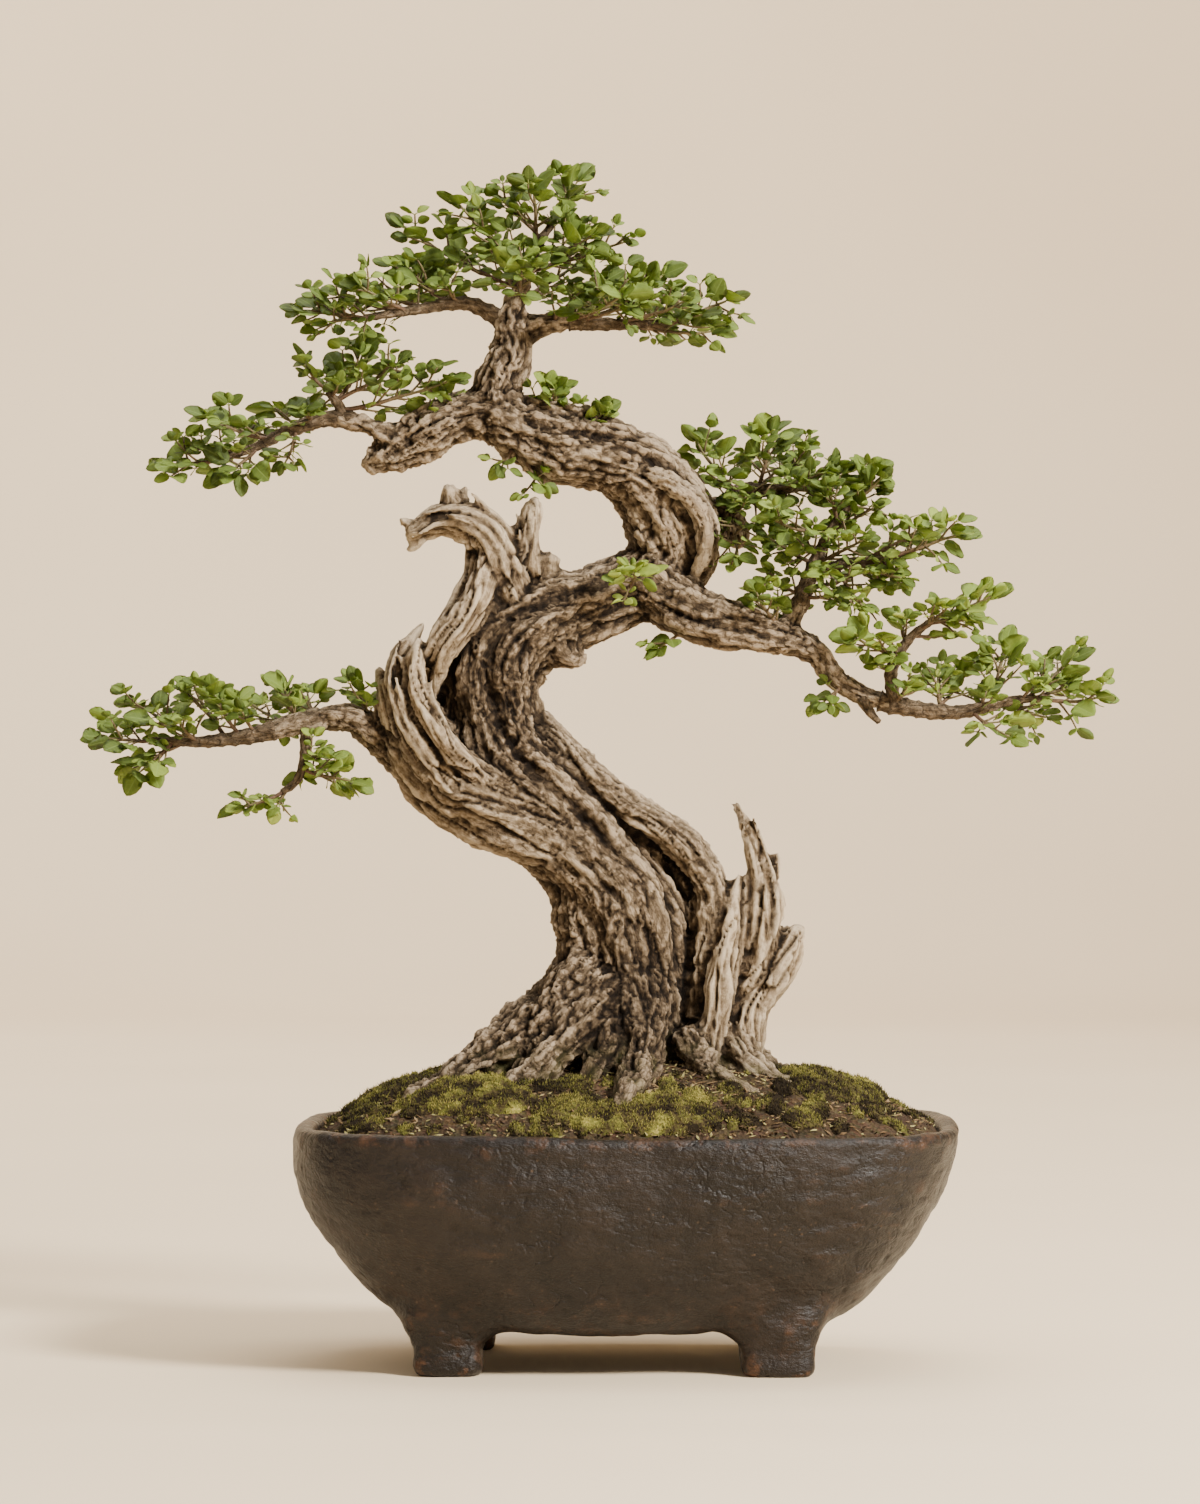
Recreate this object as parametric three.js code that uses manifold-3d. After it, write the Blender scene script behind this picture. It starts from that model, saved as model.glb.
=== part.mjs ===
// A premna bonsai in a hand-built stoneware pot: an old S-shaped trunk with roots, dead wood and
// boughs, leafy sprays with opposite leaves, a mound of soil with moss cushions, and the pot on
// four feet. Millimetres, +Z up, the viewer looks along +Y. The origin is on the table surface,
// under the middle of the whole plant.
import * as THREE from "three";
import { mergeVertices } from "three/addons/utils/BufferGeometryUtils.js";
import Module from "manifold-3d";

const wasm = await Module();
wasm.setup();

// Driving dimensions
const POT_CENTRE_X = 13.5; // the tree overhangs the pot to the left of the pot's middle
const POT_HALF_WIDTH = 165;
const POT_HALF_DEPTH = 115;
const PLAN_POWER = 3.2; // superellipse power of the pot seen from above
const RIM_Z = 119.5;
const WALL = 11;
const FLOOR_TOP_Z = 31;
const BOWL_BOTTOM_Z = 19.5;
const POT_SEGMENTS = 28;
const GAP = 0.35; // clearance between neighbouring pieces
const SLIVER = 0.04; // no edge is left shorter than this after a cut
const SOIL_EDGE_Z = 116.5;
const MOUND_HEIGHT = 33;
const EYE_DISTANCE = 2500; // the front view that the limb points were laid out in
const EYE_HEIGHT = 304;
const DRAIN_X = 42;
const DRAIN_RADIUS = 9;
const MESH_SIDE = 27;
const MESH_THICK = 1.4;
const MESH_PITCH = 11;
const MESH_OPENING = 8;
const HOLE_SIDES = 12;

const MATERIALS = {
  stoneware: new THREE.MeshStandardMaterial({ color: 0x3b2f29, roughness: 0.55, metalness: 0 }),
  soil: new THREE.MeshStandardMaterial({ color: 0x3a2b1e, roughness: 0.95, metalness: 0 }),
  moss: new THREE.MeshStandardMaterial({ color: 0x6f7431, roughness: 0.9, metalness: 0 }),
  wood: new THREE.MeshStandardMaterial({ color: 0x7d6855, roughness: 0.85, metalness: 0 }),
  leaf: new THREE.MeshStandardMaterial({ color: 0x4f7a2c, roughness: 0.55, metalness: 0 }),
  plastic: new THREE.MeshStandardMaterial({ color: 0x1c1c1c, roughness: 0.6, metalness: 0 }),
};

const bonsai = new THREE.Group();

// A repeatable source of numbers from 0 to 1 (mulberry32).
function randomFrom(seed) {
  let state = seed >>> 0;
  return () => {
    state = (state + 0x6d2b79f5) >>> 0;
    let t = state;
    t = Math.imul(t ^ (t >>> 15), t | 1);
    t ^= t + Math.imul(t ^ (t >>> 7), t | 61);
    return ((t ^ (t >>> 14)) >>> 0) / 4294967296;
  };
}

// A closed geometry as a solid.
function solidOf(geometry) {
  const bare = geometry.clone();
  bare.deleteAttribute("normal");
  bare.deleteAttribute("uv");
  const merged = mergeVertices(bare, 1e-4);
  return new wasm.Manifold(
    new wasm.Mesh({
      numProp: 3,
      vertProperties: new Float32Array(merged.attributes.position.array),
      triVerts: new Uint32Array(merged.index.array),
    }),
  );
}

// A geometry from points and triangles.
function geometryFrom(points, faces) {
  const geometry = new THREE.BufferGeometry();
  const flat = points.flatMap((p) => [p.x, p.y, p.z]);
  geometry.setAttribute("position", new THREE.Float32BufferAttribute(flat, 3));
  geometry.setIndex(faces.flat());
  return geometry;
}

// The solid that rings of points bound, with a flat cap over each end ring.
function solidOfRings(rings) {
  const sides = rings[0].length;
  const last = (rings.length - 1) * sides;
  const faces = [];
  for (let r = 0; r < last; r += sides) {
    for (let i = 0; i < sides; i++) {
      const a = r + i;
      const b = r + ((i + 1) % sides);
      faces.push([a, b, b + sides], [a, b + sides, a + sides]);
    }
  }
  for (let i = 1; i + 1 < sides; i++) {
    faces.push([0, i + 1, i], [last, last + i, last + i + 1]);
  }
  return solidOf(geometryFrom(rings.flat(), faces));
}

// The largest body of a solid: a cut can leave scraps behind.
function mainBody(solid) {
  return solid.decompose().sort((a, b) => b.volume() - a.volume())[0];
}

// A solid with the very short edges that a cut leaves closed up: the ends of each become one point.
function withoutSlivers(solid) {
  const { vertProperties, triVerts } = solid.simplify(SLIVER).getMesh();
  const point = (i) => new THREE.Vector3().fromArray(vertProperties, 3 * i);
  const joined = Array.from({ length: vertProperties.length / 3 }, (_, i) => i);
  const end = (i) => (joined[i] === i ? i : end(joined[i]));
  triVerts.forEach((vertex, i) => {
    const a = end(vertex);
    const b = end(triVerts[i % 3 === 2 ? i - 2 : i + 1]);
    if (a !== b && point(a).distanceTo(point(b)) < SLIVER) {
      joined[Math.max(a, b)] = Math.min(a, b);
    }
  });
  const faces = [];
  for (let t = 0; t < triVerts.length; t += 3) {
    const face = [0, 1, 2].map((k) => end(triVerts[t + k]));
    if (new Set(face).size === 3) {
      faces.push(face);
    }
  }
  return solidOf(geometryFrom(joined.map((_, i) => point(i)), faces));
}

// Adds a solid to the plant as a named mesh.
function addMesh(name, solid, material) {
  const mesh = withoutSlivers(solid).getMesh();
  const geometry = new THREE.BufferGeometry();
  geometry.setAttribute("position", new THREE.BufferAttribute(mesh.vertProperties, 3));
  geometry.setIndex(new THREE.BufferAttribute(mesh.triVerts, 1));
  geometry.computeVertexNormals();
  const made = new THREE.Mesh(geometry, material);
  made.name = name;
  bonsai.add(made);
}

// A point given as it is seen from the front, at depth y behind the plane of the trunk.
function seen(x, y, z) {
  const spread = (EYE_DISTANCE + y) / EYE_DISTANCE;
  return new THREE.Vector3(x * spread, y, EYE_HEIGHT + (z - EYE_HEIGHT) * spread);
}

// Pot
// The bowl's outer size at each height, as a share of the size at the rim.
const BOWL_PROFILE = [
  [BOWL_BOTTOM_Z, 0.54],
  [23, 0.66],
  [31, 0.735],
  [45, 0.82],
  [60, 0.893],
  [80, 0.967],
  [95, 0.998],
  [112, 1.0],
  [RIM_Z, 1.0],
];
const RIGHT_LEAN = 0.045; // how much more the bowl draws in on its right side
const LEAN_HEIGHT = 25; // below the rim, where that lean is full
const CREASES = [-2.57, -0.56, 0.58, 2.56]; // the four soft upright edges, as angles
const CREASE_RISE = 0.018; // how far an upright edge stands out, over the pot's reach
const CREASE_WIDTH = 0.09; // as an angle
const FEET = [
  // x and y of the foot's middle from the pot's middle, half width and half depth at the ground
  [-88, -54, 16.5, 17],
  [73, -55, 17.5, 17],
  [-84, 55, 17, 16],
  [78, 54, 16.5, 17],
];

// How far the pot's plan reaches at an angle, at the rim.
function planReach(angle) {
  const across = Math.abs(Math.cos(angle)) / POT_HALF_WIDTH;
  const along = Math.abs(Math.sin(angle)) / POT_HALF_DEPTH;
  const reach = (across ** PLAN_POWER + along ** PLAN_POWER) ** (-1 / PLAN_POWER);
  const hand = 0.006 * Math.sin(2 * angle + 0.7) + 0.005 * Math.sin(3 * angle + 2.1);
  const crease = CREASES.map((c) => CREASE_RISE * Math.exp(-(((angle - c) / CREASE_WIDTH) ** 2)));
  return reach * (1 + hand + crease.reduce((sum, c) => sum + c, 0));
}

// The bowl's reach at a height as a share of the rim's; the right side slants in a little more.
function bowlShare(z, angle) {
  const i = Math.max(1, BOWL_PROFILE.findIndex(([height]) => height >= z));
  const [z0, s0] = BOWL_PROFILE[i - 1];
  const [z1, s1] = BOWL_PROFILE[i];
  const lean = RIGHT_LEAN * Math.max(0, Math.cos(angle)) * Math.min(1, (RIM_Z - z) / LEAN_HEIGHT);
  return s0 + ((s1 - s0) * (z - z0)) / (z1 - z0) - lean;
}

// A ring of the pot's plan at a height, drawn in by an inset.
function planRing(z, inset, lift = 0) {
  return Array.from({ length: POT_SEGMENTS }, (_, i) => {
    const angle = (i / POT_SEGMENTS) * 2 * Math.PI - Math.PI;
    const reach = planReach(angle) * bowlShare(z, angle) - inset;
    const wobble = lift * (0.8 * Math.sin(2 * angle + 0.4) + 0.5 * Math.sin(3 * angle));
    const x = POT_CENTRE_X + reach * Math.cos(angle);
    return new THREE.Vector3(x, reach * Math.sin(angle), z + wobble);
  });
}

// A foot: a block that widens upwards into the bowl.
function footSolid([x, y, halfWidth, halfDepth]) {
  const ring = (z, w, d) =>
    [
      [-1, -0.7],
      [-0.7, -1],
      [0.7, -1],
      [1, -0.7],
      [1, 0.7],
      [0.7, 1],
      [-0.7, 1],
      [-1, 0.7],
    ].map(([u, v]) => new THREE.Vector3(POT_CENTRE_X + x + u * w, y + v * d, z));
  return solidOfRings([
    ring(0, halfWidth, halfDepth),
    ring(13, halfWidth + 0.5, halfDepth),
    ring(23, halfWidth + 8, halfDepth + 5),
    ring(34, halfWidth + 9, halfDepth + 6),
  ]);
}

function potSolid() {
  const outside = [BOWL_BOTTOM_Z, 24, 33, 47, 66, 88].map((z) => planRing(z, 0));
  const bowl = solidOfRings([
    ...outside,
    planRing(RIM_Z - 2, 0, 1),
    planRing(RIM_Z - 0.3, 1.8, 1),
    planRing(RIM_Z, 4, 1),
  ]);
  const cavity = solidOfRings([
    planRing(FLOOR_TOP_Z, WALL + 5),
    planRing(38, WALL + 2),
    ...[55, 78, RIM_Z - 2.5].map((z) => planRing(z, WALL)),
    planRing(RIM_Z - 0.4, WALL - 1.5),
    planRing(RIM_Z, WALL - 3.5).map((p) => p.setZ(RIM_Z + 3)),
  ]);
  let pot = bowl;
  for (const foot of FEET) {
    pot = pot.add(footSolid(foot));
  }
  pot = pot.subtract(cavity);
  for (const side of [-1, 1]) {
    pot = pot.subtract(drainHole(side));
  }
  return pot;
}

function drainHole(side) {
  const hole = new THREE.CylinderGeometry(DRAIN_RADIUS, DRAIN_RADIUS, 40, HOLE_SIDES);
  hole.rotateX(Math.PI / 2);
  hole.translate(POT_CENTRE_X + side * DRAIN_X, 0, FLOOR_TOP_Z - 10);
  return solidOf(hole);
}

// A block over a drain hole, from its middle's offset, its sides and its underside.
function drainBlock(side, dx, dy, width, z, height) {
  const block = new THREE.BoxGeometry(width, width, height);
  block.translate(POT_CENTRE_X + side * DRAIN_X + dx, dy, z + height / 2);
  return solidOf(block);
}

// The plastic screen over a drain hole: a square sheet with four square openings.
function screenSolid(side) {
  let screen = drainBlock(side, 0, 0, MESH_SIDE, FLOOR_TOP_Z + GAP, MESH_THICK);
  for (const i of [-0.5, 0.5]) {
    for (const j of [-0.5, 0.5]) {
      const hole = drainBlock(side, i * MESH_PITCH, j * MESH_PITCH, MESH_OPENING, FLOOR_TOP_Z, 4);
      screen = screen.subtract(hole);
    }
  }
  return screen;
}

// The room that the soil leaves for a screen.
function screenPocket(side) {
  const height = MESH_THICK + 2 * GAP + 1;
  return drainBlock(side, 0, 0, MESH_SIDE + 2 * GAP, FLOOR_TOP_Z - 1, height);
}

// Soil and moss
const SOIL_INSET = WALL + GAP;
const MOUND_RINGS = [0.93, 0.8, 0.62, 0.4, 0.15]; // shares of the way out to the pot's wall

// The height of the soil, rising from the rim to the mound round the roots.
function soilTop(x, y) {
  const angle = Math.atan2(y, x - POT_CENTRE_X);
  const edge = planReach(angle) - SOIL_INSET;
  const share = Math.min(1, Math.hypot(x - POT_CENTRE_X, y) / edge);
  const mound = MOUND_HEIGHT * Math.max(0, 1 - share ** 2.2) ** 0.9;
  const lumps = 1.6 * Math.sin(x * 0.09 + 1) * Math.sin(y * 0.11 + 0.5) * (1 - share ** 4);
  return SOIL_EDGE_Z + mound + lumps;
}

function soilSolid() {
  const bottom = planRing(FLOOR_TOP_Z, WALL + 5 + GAP).map((p) => p.setZ(FLOOR_TOP_Z + GAP));
  const edge = planRing(SOIL_EDGE_Z, SOIL_INSET);
  const rings = [
    bottom,
    planRing(38, WALL + 2 + GAP),
    ...[55, 78].map((z) => planRing(z, SOIL_INSET)),
    edge,
  ];
  for (const share of MOUND_RINGS) {
    rings.push(
      edge.map((p) => {
        const x = POT_CENTRE_X + (p.x - POT_CENTRE_X) * share;
        return new THREE.Vector3(x, p.y * share, soilTop(x, p.y * share));
      }),
    );
  }
  return solidOfRings(rings);
}

const MOSS = [
  // name, x and y of the middle, half length, half width, turn in degrees, height
  ["moss_left", -98, 0, 36, 29, 72, 5.5],
  ["moss_front_left", -66, -66, 36, 18, -14, 5.5],
  ["moss_front", 22, -87, 38, 13, 2, 5],
  ["moss_right", 117, -8, 54, 26, 76, 6],
  ["moss_back", 8, 84, 58, 16, -3, 5.5],
];

const MOSS_SIDES = 12;

// A moss cushion: a low dome laid on the soil and cut to it.
function mossSolid([, x, y, a, b, turn, height], soil, roots) {
  const angle = THREE.MathUtils.degToRad(turn);
  const at = (share, i, lift) => {
    const way = (i / MOSS_SIDES) * 2 * Math.PI;
    const lobes = 1 + 0.09 * Math.sin(3 * way + x) + 0.06 * Math.sin(5 * way + y);
    const u = Math.cos(way) * a * share * lobes;
    const v = Math.sin(way) * b * share * lobes;
    const px = x + u * Math.cos(angle) - v * Math.sin(angle);
    const py = y + u * Math.sin(angle) + v * Math.cos(angle);
    return new THREE.Vector3(px, py, soilTop(px, py) + lift);
  };
  const ring = (share, lift) => Array.from({ length: MOSS_SIDES }, (_, i) => at(share, i, lift));
  const dome = solidOfRings([
    ring(0.97, -6),
    ring(1, 1),
    ring(0.8, 0.75 * height),
    ring(0.35, 1.1 * height),
  ]);
  return mainBody(dome.subtract(soil.translate([0, 0, GAP])).subtract(roots));
}

// Trunk
// Each limb is a list of [x, depth y, z, radius] as seen from the front.
const CORE = [
  [12, 0, 124, 36],
  [12.5, 0, 139, 37],
  [12.5, 0, 165, 33],
  [12, 0, 190, 33],
  [12, -1, 212, 33],
  [7.5, -2, 230, 33],
  [-5, -2, 251, 30],
  [-28, 0, 277, 31],
  [-48, 3, 297, 32],
  [-55, 4, 322, 29],
  [-55, 3, 345, 28],
  [-46, 1, 361, 27],
  [-28, 2, 372, 23],
  [-5, 6, 378.5, 18.5],
  [17.5, 12, 386.5, 17.5],
  [36, 15, 398, 20],
  [36, 14, 417, 24],
  [25, 9, 438.5, 22],
  [4.5, 4, 452, 19],
  [-20, 0, 457.5, 21],
  [-40, -3, 466.5, 17],
  [-55, -4, 473, 14],
  [-72.5, -5, 471, 12.5],
  [-86, -6, 464.5, 13.5],
  [-100, -7, 456, 11],
  [-110, -8, 450, 8],
  [-117, -8, 447, 4.5],
];
const CORE_SPLITS = [0, 8, 15, 26]; // the core is swept in three lengths, so no bend folds over
const CORE_DEPTH = 0.86; // the trunk is a little thinner front to back

const LIMBS = {
  flank: [
    [-24, -8, 262, 20],
    [-56, -8, 279, 24],
    [-82, -6, 296, 21],
    [-95, -6, 318, 17],
    [-96, -5, 336, 12],
    [-92, -4, 352, 6],
  ],
  splay_outer: [
    [-72, -12, 278, 9],
    [-96, -14, 306, 8],
    [-107, -14, 330, 5],
    [-110.5, -12, 346, 2],
  ],
  splay_tall: [
    [-62, -20, 276, 9],
    [-86, -23, 303, 8],
    [-100, -20, 330, 7.5],
    [-100, -16, 350, 6],
    [-93, -12, 362, 3.5],
    [-88.5, -10, 368.5, 1.5],
  ],
  splay_inner: [
    [-58, -26, 288, 8],
    [-77, -29, 309, 7],
    [-90, -27, 333, 6.5],
    [-92, -24, 352, 4.5],
    [-90, -21, 361, 1.6],
  ],
  splay_back: [
    [-70, 12, 284, 10],
    [-94, 13, 308, 8],
    [-104, 12, 332, 6],
    [-103, 10, 350, 2.5],
  ],
  ribbon: [
    [-84, -16, 336, 7],
    [-80, -19, 354, 9],
    [-69, -18, 370, 11],
    [-60, -14, 386, 10],
    [-56, -9, 400, 10],
    [-57, -6, 410, 7],
  ],
  ridge: [
    [-26, -6, 335, 6],
    [-16, -10, 303, 9],
    [8, -12, 281, 9],
    [38, -11, 261, 9.5],
    [54, -9, 240, 10],
    [54, -8, 214, 9],
    [48, -7, 170, 9],
    [50, -6, 140, 8],
  ],
  inner_strand: [
    [53, -15, 150, 9.5],
    [59, -17, 180, 8],
    [62.5, -16, 205, 8.5],
    [67, -14, 227, 6.5],
    [69, -12, 241, 2.4],
  ],
  outer_strand: [
    [64, -8, 142, 13],
    [71, -8, 160, 12],
    [75, -7, 177, 11],
    [85, -5, 193, 12],
    [94, -3, 208, 9.5],
    [99, -2, 217, 3.5],
  ],
  spire: [
    [67, -10, 172, 7],
    [75, -10, 190, 8],
    [81.5, -9, 209, 9.5],
    [84, -8, 227, 9],
    [81, -7, 245, 7.5],
    [76, -7, 262, 4.8],
    [71, -7, 274, 2.6],
    [68, -7, 279.5, 1.3],
  ],
  spire_spur: [
    [85, -7, 233, 4],
    [88.5, -7, 246, 2.4],
    [88, -7, 254, 1.7],
  ],
  spire_tooth: [
    [78, -7, 254, 3],
    [80, -8, 265.5, 1.4],
  ],
  strand_back: [
    [60, 10, 148, 11],
    [66, 12, 165, 9],
    [74, 12, 188, 8],
    [78, 10, 208, 6],
    [76, 8, 226, 2.4],
  ],
  jin: [
    [-40, -2, 366, 20],
    [-48, -4, 389, 15.5],
    [-54, -6, 407, 13],
    [-65, -8, 418, 11.5],
    [-78, -8, 420, 9.5],
    [-95, -10, 413, 6],
  ],
  jin_upper_horn: [
    [-91, -10, 415, 5],
    [-96, -10, 417.5, 3.6],
    [-100, -10, 420.5, 1.6],
  ],
  jin_lower_horn: [
    [-90, -9, 412, 5],
    [-94, -9, 406.5, 3],
    [-97, -9, 405, 1.8],
  ],
  jin_knob: [
    [-71, -8, 420, 8],
    [-74.5, -8, 430, 6],
    [-74.5, -9, 436, 4.6],
  ],
  jin_tooth: [
    [-69, -7, 427, 3.4],
    [-67.5, -7, 437, 1.3],
  ],
  spike: [
    [-33, -4, 378, 9],
    [-36, -6, 397, 6.5],
    [-35, -6, 414, 6.3],
    [-33.5, -5, 425, 5.8],
    [-32.5, -5, 431, 2.4],
  ],
  spike_spur: [
    [-36, -6, 406, 4],
    [-41, -6, 415, 2.8],
    [-45, -6, 417, 1.4],
  ],
  stub: [
    [-27, -2, 384, 8],
    [-26, -4, 395, 6],
    [-25, -5, 401.5, 6.6],
  ],
  under_knob: [
    [-24, -2, 362, 11],
    [-15, -4, 352, 8],
    [-8.5, -5, 349.5, 3.6],
  ],
  shoulder: [
    [40, 22, 410, 14],
    [56, 26, 420, 12],
    [66, 28, 417, 9],
    [70, 29, 408, 6],
  ],
  loop_strand: [
    [20, -8, 449, 7],
    [40, -7, 438, 7.5],
    [53, -5, 422, 6.5],
    [56, -2, 405, 6],
    [46, 4, 388, 4],
  ],
  root_left: [
    [-2, -8, 188, 24],
    [-20, -15, 173, 21],
    [-40, -23, 160, 16.5],
    [-60, -31, 147, 12.5],
    [-78, -38, 135.5, 9.5],
    [-92, -43, 125, 6.5],
    [-99, -46, 116, 4.5],
  ],
  root_front: [
    [18, -18, 186, 17],
    [22, -29, 166, 13],
    [20, -42, 148, 11],
    [16, -54, 134, 8],
    [13, -62, 122, 5.5],
  ],
  root_right: [
    [66, -10, 158, 13],
    [75, -21, 146, 9.5],
    [88, -31, 136.5, 7],
    [103, -39, 129, 5.4],
    [116, -44, 121.5, 4],
    [122, -46, 116, 3],
  ],
  root_right_inner: [
    [44, -16, 162, 10],
    [52, -31, 147, 7],
    [62, -44, 136.5, 5.4],
    [70, -54, 127, 4],
    [74, -58, 119, 3],
  ],
  root_back_left: [
    [-8, 12, 170, 17],
    [-34, 32, 152, 12],
    [-56, 48, 138, 8],
    [-74, 59, 127, 5.4],
    [-82, 64, 118, 3.6],
  ],
  root_back: [
    [22, 20, 168, 16],
    [25, 43, 150, 11],
    [19, 62, 135, 7],
    [13, 74, 123, 4.5],
  ],
  root_back_right: [
    [56, 8, 160, 13],
    [80, 27, 146, 9],
    [103, 42, 133, 6],
    [118, 50, 122, 4],
  ],
};

const toPoints = (list) => list.map(([x, y, z]) => seen(x, y, z));

// A tapering, slightly knobbly tube along a curve through the list's points.
function limbSolid(list, options) {
  const { sides, grow = 0, depth = 1, flutes = 0, rough = 0.08, seed = 1 } = options;
  const curve = new THREE.CatmullRomCurve3(toPoints(list), false, "centripetal");
  const last = list.length - 1;
  const random = randomFrom(seed);
  const rings = [];
  const across = new THREE.Vector3(0, 1, 0);
  for (let r = 0; r <= last; r++) {
    const radius = list[r][3];
    const point = curve.getPoint(r / last);
    const way = curve.getTangent(r / last);
    across.addScaledVector(way, -across.dot(way)).normalize();
    const side = way.clone().cross(across);
    const end = r === 0 ? -grow : r === last ? grow : 0;
    const centre = point.clone().addScaledVector(way, end);
    rings.push(
      Array.from({ length: sides }, (_, i) => {
        const angle = (i / sides) * 2 * Math.PI;
        const ridge = i % 2 ? -flutes / 2 : flutes / 2;
        const reach = radius * (1 + ridge + rough * (2 * random() - 1)) + grow;
        const offset = across.clone().multiplyScalar(Math.cos(angle) * reach);
        offset.addScaledVector(side, Math.sin(angle) * reach);
        offset.y *= depth;
        return centre.clone().add(offset);
      }),
    );
  }
  return solidOfRings(rings);
}

// Boughs
// Each bough has its points, and its sprays as [place along it, tip x, tip depth y, tip z].
const BOUGHS = {
  leader: {
    points: [
      [-50, -2, 470, 14],
      [-51.5, -2, 486, 12],
      [-43, -1, 505, 11],
      [-44, 0, 518, 9.5],
      [-40, 0, 534, 4.6],
      [-33, 0, 554, 3],
      [-24, 1, 568, 1.6],
    ],
    sprays: [
      [1, -6, 8, 598],
      [0.86, -34, -14, 595],
      [0.76, -78, -10, 585],
      [0.68, -107, 12, 571],
      [0.76, 5, -14, 567],
      [0.64, -38, -50, 550],
      [0.66, -50, 50, 560],
    ],
  },
  crown_left: {
    points: [
      [-47, -1, 519, 5],
      [-66, -6, 528, 3.6],
      [-92, -14, 525, 2.6],
      [-118, -19, 521, 1.6],
    ],
    sprays: [
      [1, -159, -24, 526],
      [0.72, -128, -38, 541],
      [0.45, -104, 2, 552],
      [0.4, -92, 46, 543],
    ],
  },
  crown_right: {
    points: [
      [-42, 0, 512, 7.5],
      [-22, 2, 519, 5.4],
      [2, 5, 518, 3.4],
      [34, 9, 517, 1.8],
    ],
    sprays: [
      [1, 73, 12, 534],
      [0.84, 66, 18, 513],
      [0.5, 40, 22, 547],
      [0.42, 18, -38, 536],
      [0.42, 10, 48, 542],
    ],
  },
  upper_left: {
    points: [
      [-97, -8, 456, 7.5],
      [-113, -10, 466, 5.5],
      [-134, -9, 470.5, 4.2],
      [-152, -9, 466, 3.3],
      [-172, -12, 456.5, 2.3],
      [-190, -15, 450, 1.5],
    ],
    sprays: [
      [1, -226, -16, 447],
      [0.78, -193, -26, 437],
      [0.72, -206, -26, 474],
      [0.56, -166, 36, 476],
    ],
  },
  upper_left_rise: {
    points: [
      [-128, -9, 470, 3.4],
      [-131, -10, 478, 2.6],
      [-136, -11, 484, 1.7],
    ],
    sprays: [
      [1, -154, -16, 506],
      [0.6, -113, 4, 514],
      [0.3, -66, -20, 492],
    ],
  },
  lower_left: {
    points: [
      [-98, -6, 300, 10],
      [-112, -8, 312, 8.4],
      [-125, -11, 321, 7.4],
      [-150, -13, 318, 5.6],
      [-180, -14, 311, 3.8],
      [-205, -13, 309, 2.4],
      [-224, -12, 310, 1.5],
    ],
    sprays: [
      [1, -260, -10, 312],
      [0.9, -238, -24, 287],
      [0.79, -240, 14, 332],
      [0.66, -199, -22, 341],
      [0.5, -162, -8, 345],
      [0.52, -178, 36, 330],
    ],
  },
  lower_left_hang: {
    points: [
      [-147, -14, 316, 3],
      [-148, -17, 300, 2.4],
      [-152, -19, 289, 2],
      [-159, -22, 284, 1.5],
    ],
    sprays: [
      [1, -189, -28, 273],
      [0.45, -114, -24, 287],
    ],
  },
  great: {
    points: [
      [24, 10, 388, 15],
      [50, 0, 372, 14],
      [84, -3, 363, 10.5],
      [107, -3, 354, 7.2],
      [122, -3, 337, 5.6],
      [147, -3, 327.5, 4.6],
      [178, -5, 324, 3.5],
      [208, -7, 330, 2.2],
      [220, -8, 330.5, 1.6],
    ],
    sprays: [
      [1, 259, -10, 331],
      [0.92, 242, 12, 356],
      [0.82, 205, 8, 366],
      [0.78, 213, -24, 306],
      [0.7, 188, 38, 350],
    ],
  },
  great_stub: {
    points: [
      [131, -4, 331, 3.4],
      [135, -6, 324, 2.4],
      [139.5, -8, 319, 1.4],
    ],
    sprays: [],
  },
  great_rise: {
    points: [
      [92, -3, 362, 6],
      [100, 2, 378, 4.6],
      [107, 5, 398, 3.4],
      [117, 6, 417, 2.5],
      [124, 5, 426, 1.6],
    ],
    sprays: [
      [1, 143, 4, 451],
      [0.72, 80, -28, 421],
      [0.35, 146, 52, 404],
    ],
  },
  great_mid: {
    points: [
      [104, 4, 392, 3.4],
      [122, -3, 398, 2.5],
      [146, -10, 401, 1.6],
    ],
    sprays: [[1, 188, -14, 416]],
  },
  great_arm: {
    points: [
      [147, -4, 328, 3.6],
      [146, -10, 346, 3],
      [155, -13, 361, 2.3],
      [168, -15, 371, 1.6],
    ],
    sprays: [
      [1, 206, -20, 386],
      [0.45, 121, -36, 364],
    ],
  },
  back_bough: {
    points: [
      [56, 26, 420, 7],
      [68, 26, 433, 4.6],
      [85, 20, 435, 3.4],
      [97, 16, 435.5, 2],
    ],
    sprays: [
      [1, 132, 6, 448],
      [0.55, 88, 12, 473],
      [0.36, 42, 18, 467],
      [0.5, 96, 62, 452],
    ],
  },
};
// Short shoots straight from the trunk: where they leave it and where they end.
const TRUNK_SHOOTS = [
  ["front", [14, -4, 386], [20, -40, 397]],
  ["top_left", [-28, -2, 468], [-25, -10, 496]],
  ["top_right", [-7, 2, 462], [6, -10, 481]],
  ["under", [44, 0, 366], [22, -14, 350]],
];
// How each kind of wood is cut: its sides, its flutes and how uneven it is, over its radius.
const CORE_FORM = { sides: 12, depth: CORE_DEPTH, flutes: 0.1, rough: 0.03 };
const LIMB_FORM = { rough: 0.12 };
const BOUGH_FORM = { rough: 0.06 };
const THICK_LIMB = 9; // a limb that starts with more than this radius has six sides, others four
const CORE_SEED = 11;
const LIMB_SEED = 90;
const BOUGH_SEED = 400;

const sidesOf = (list) => (list[0][3] > THICK_LIMB ? 6 : 4);

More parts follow.
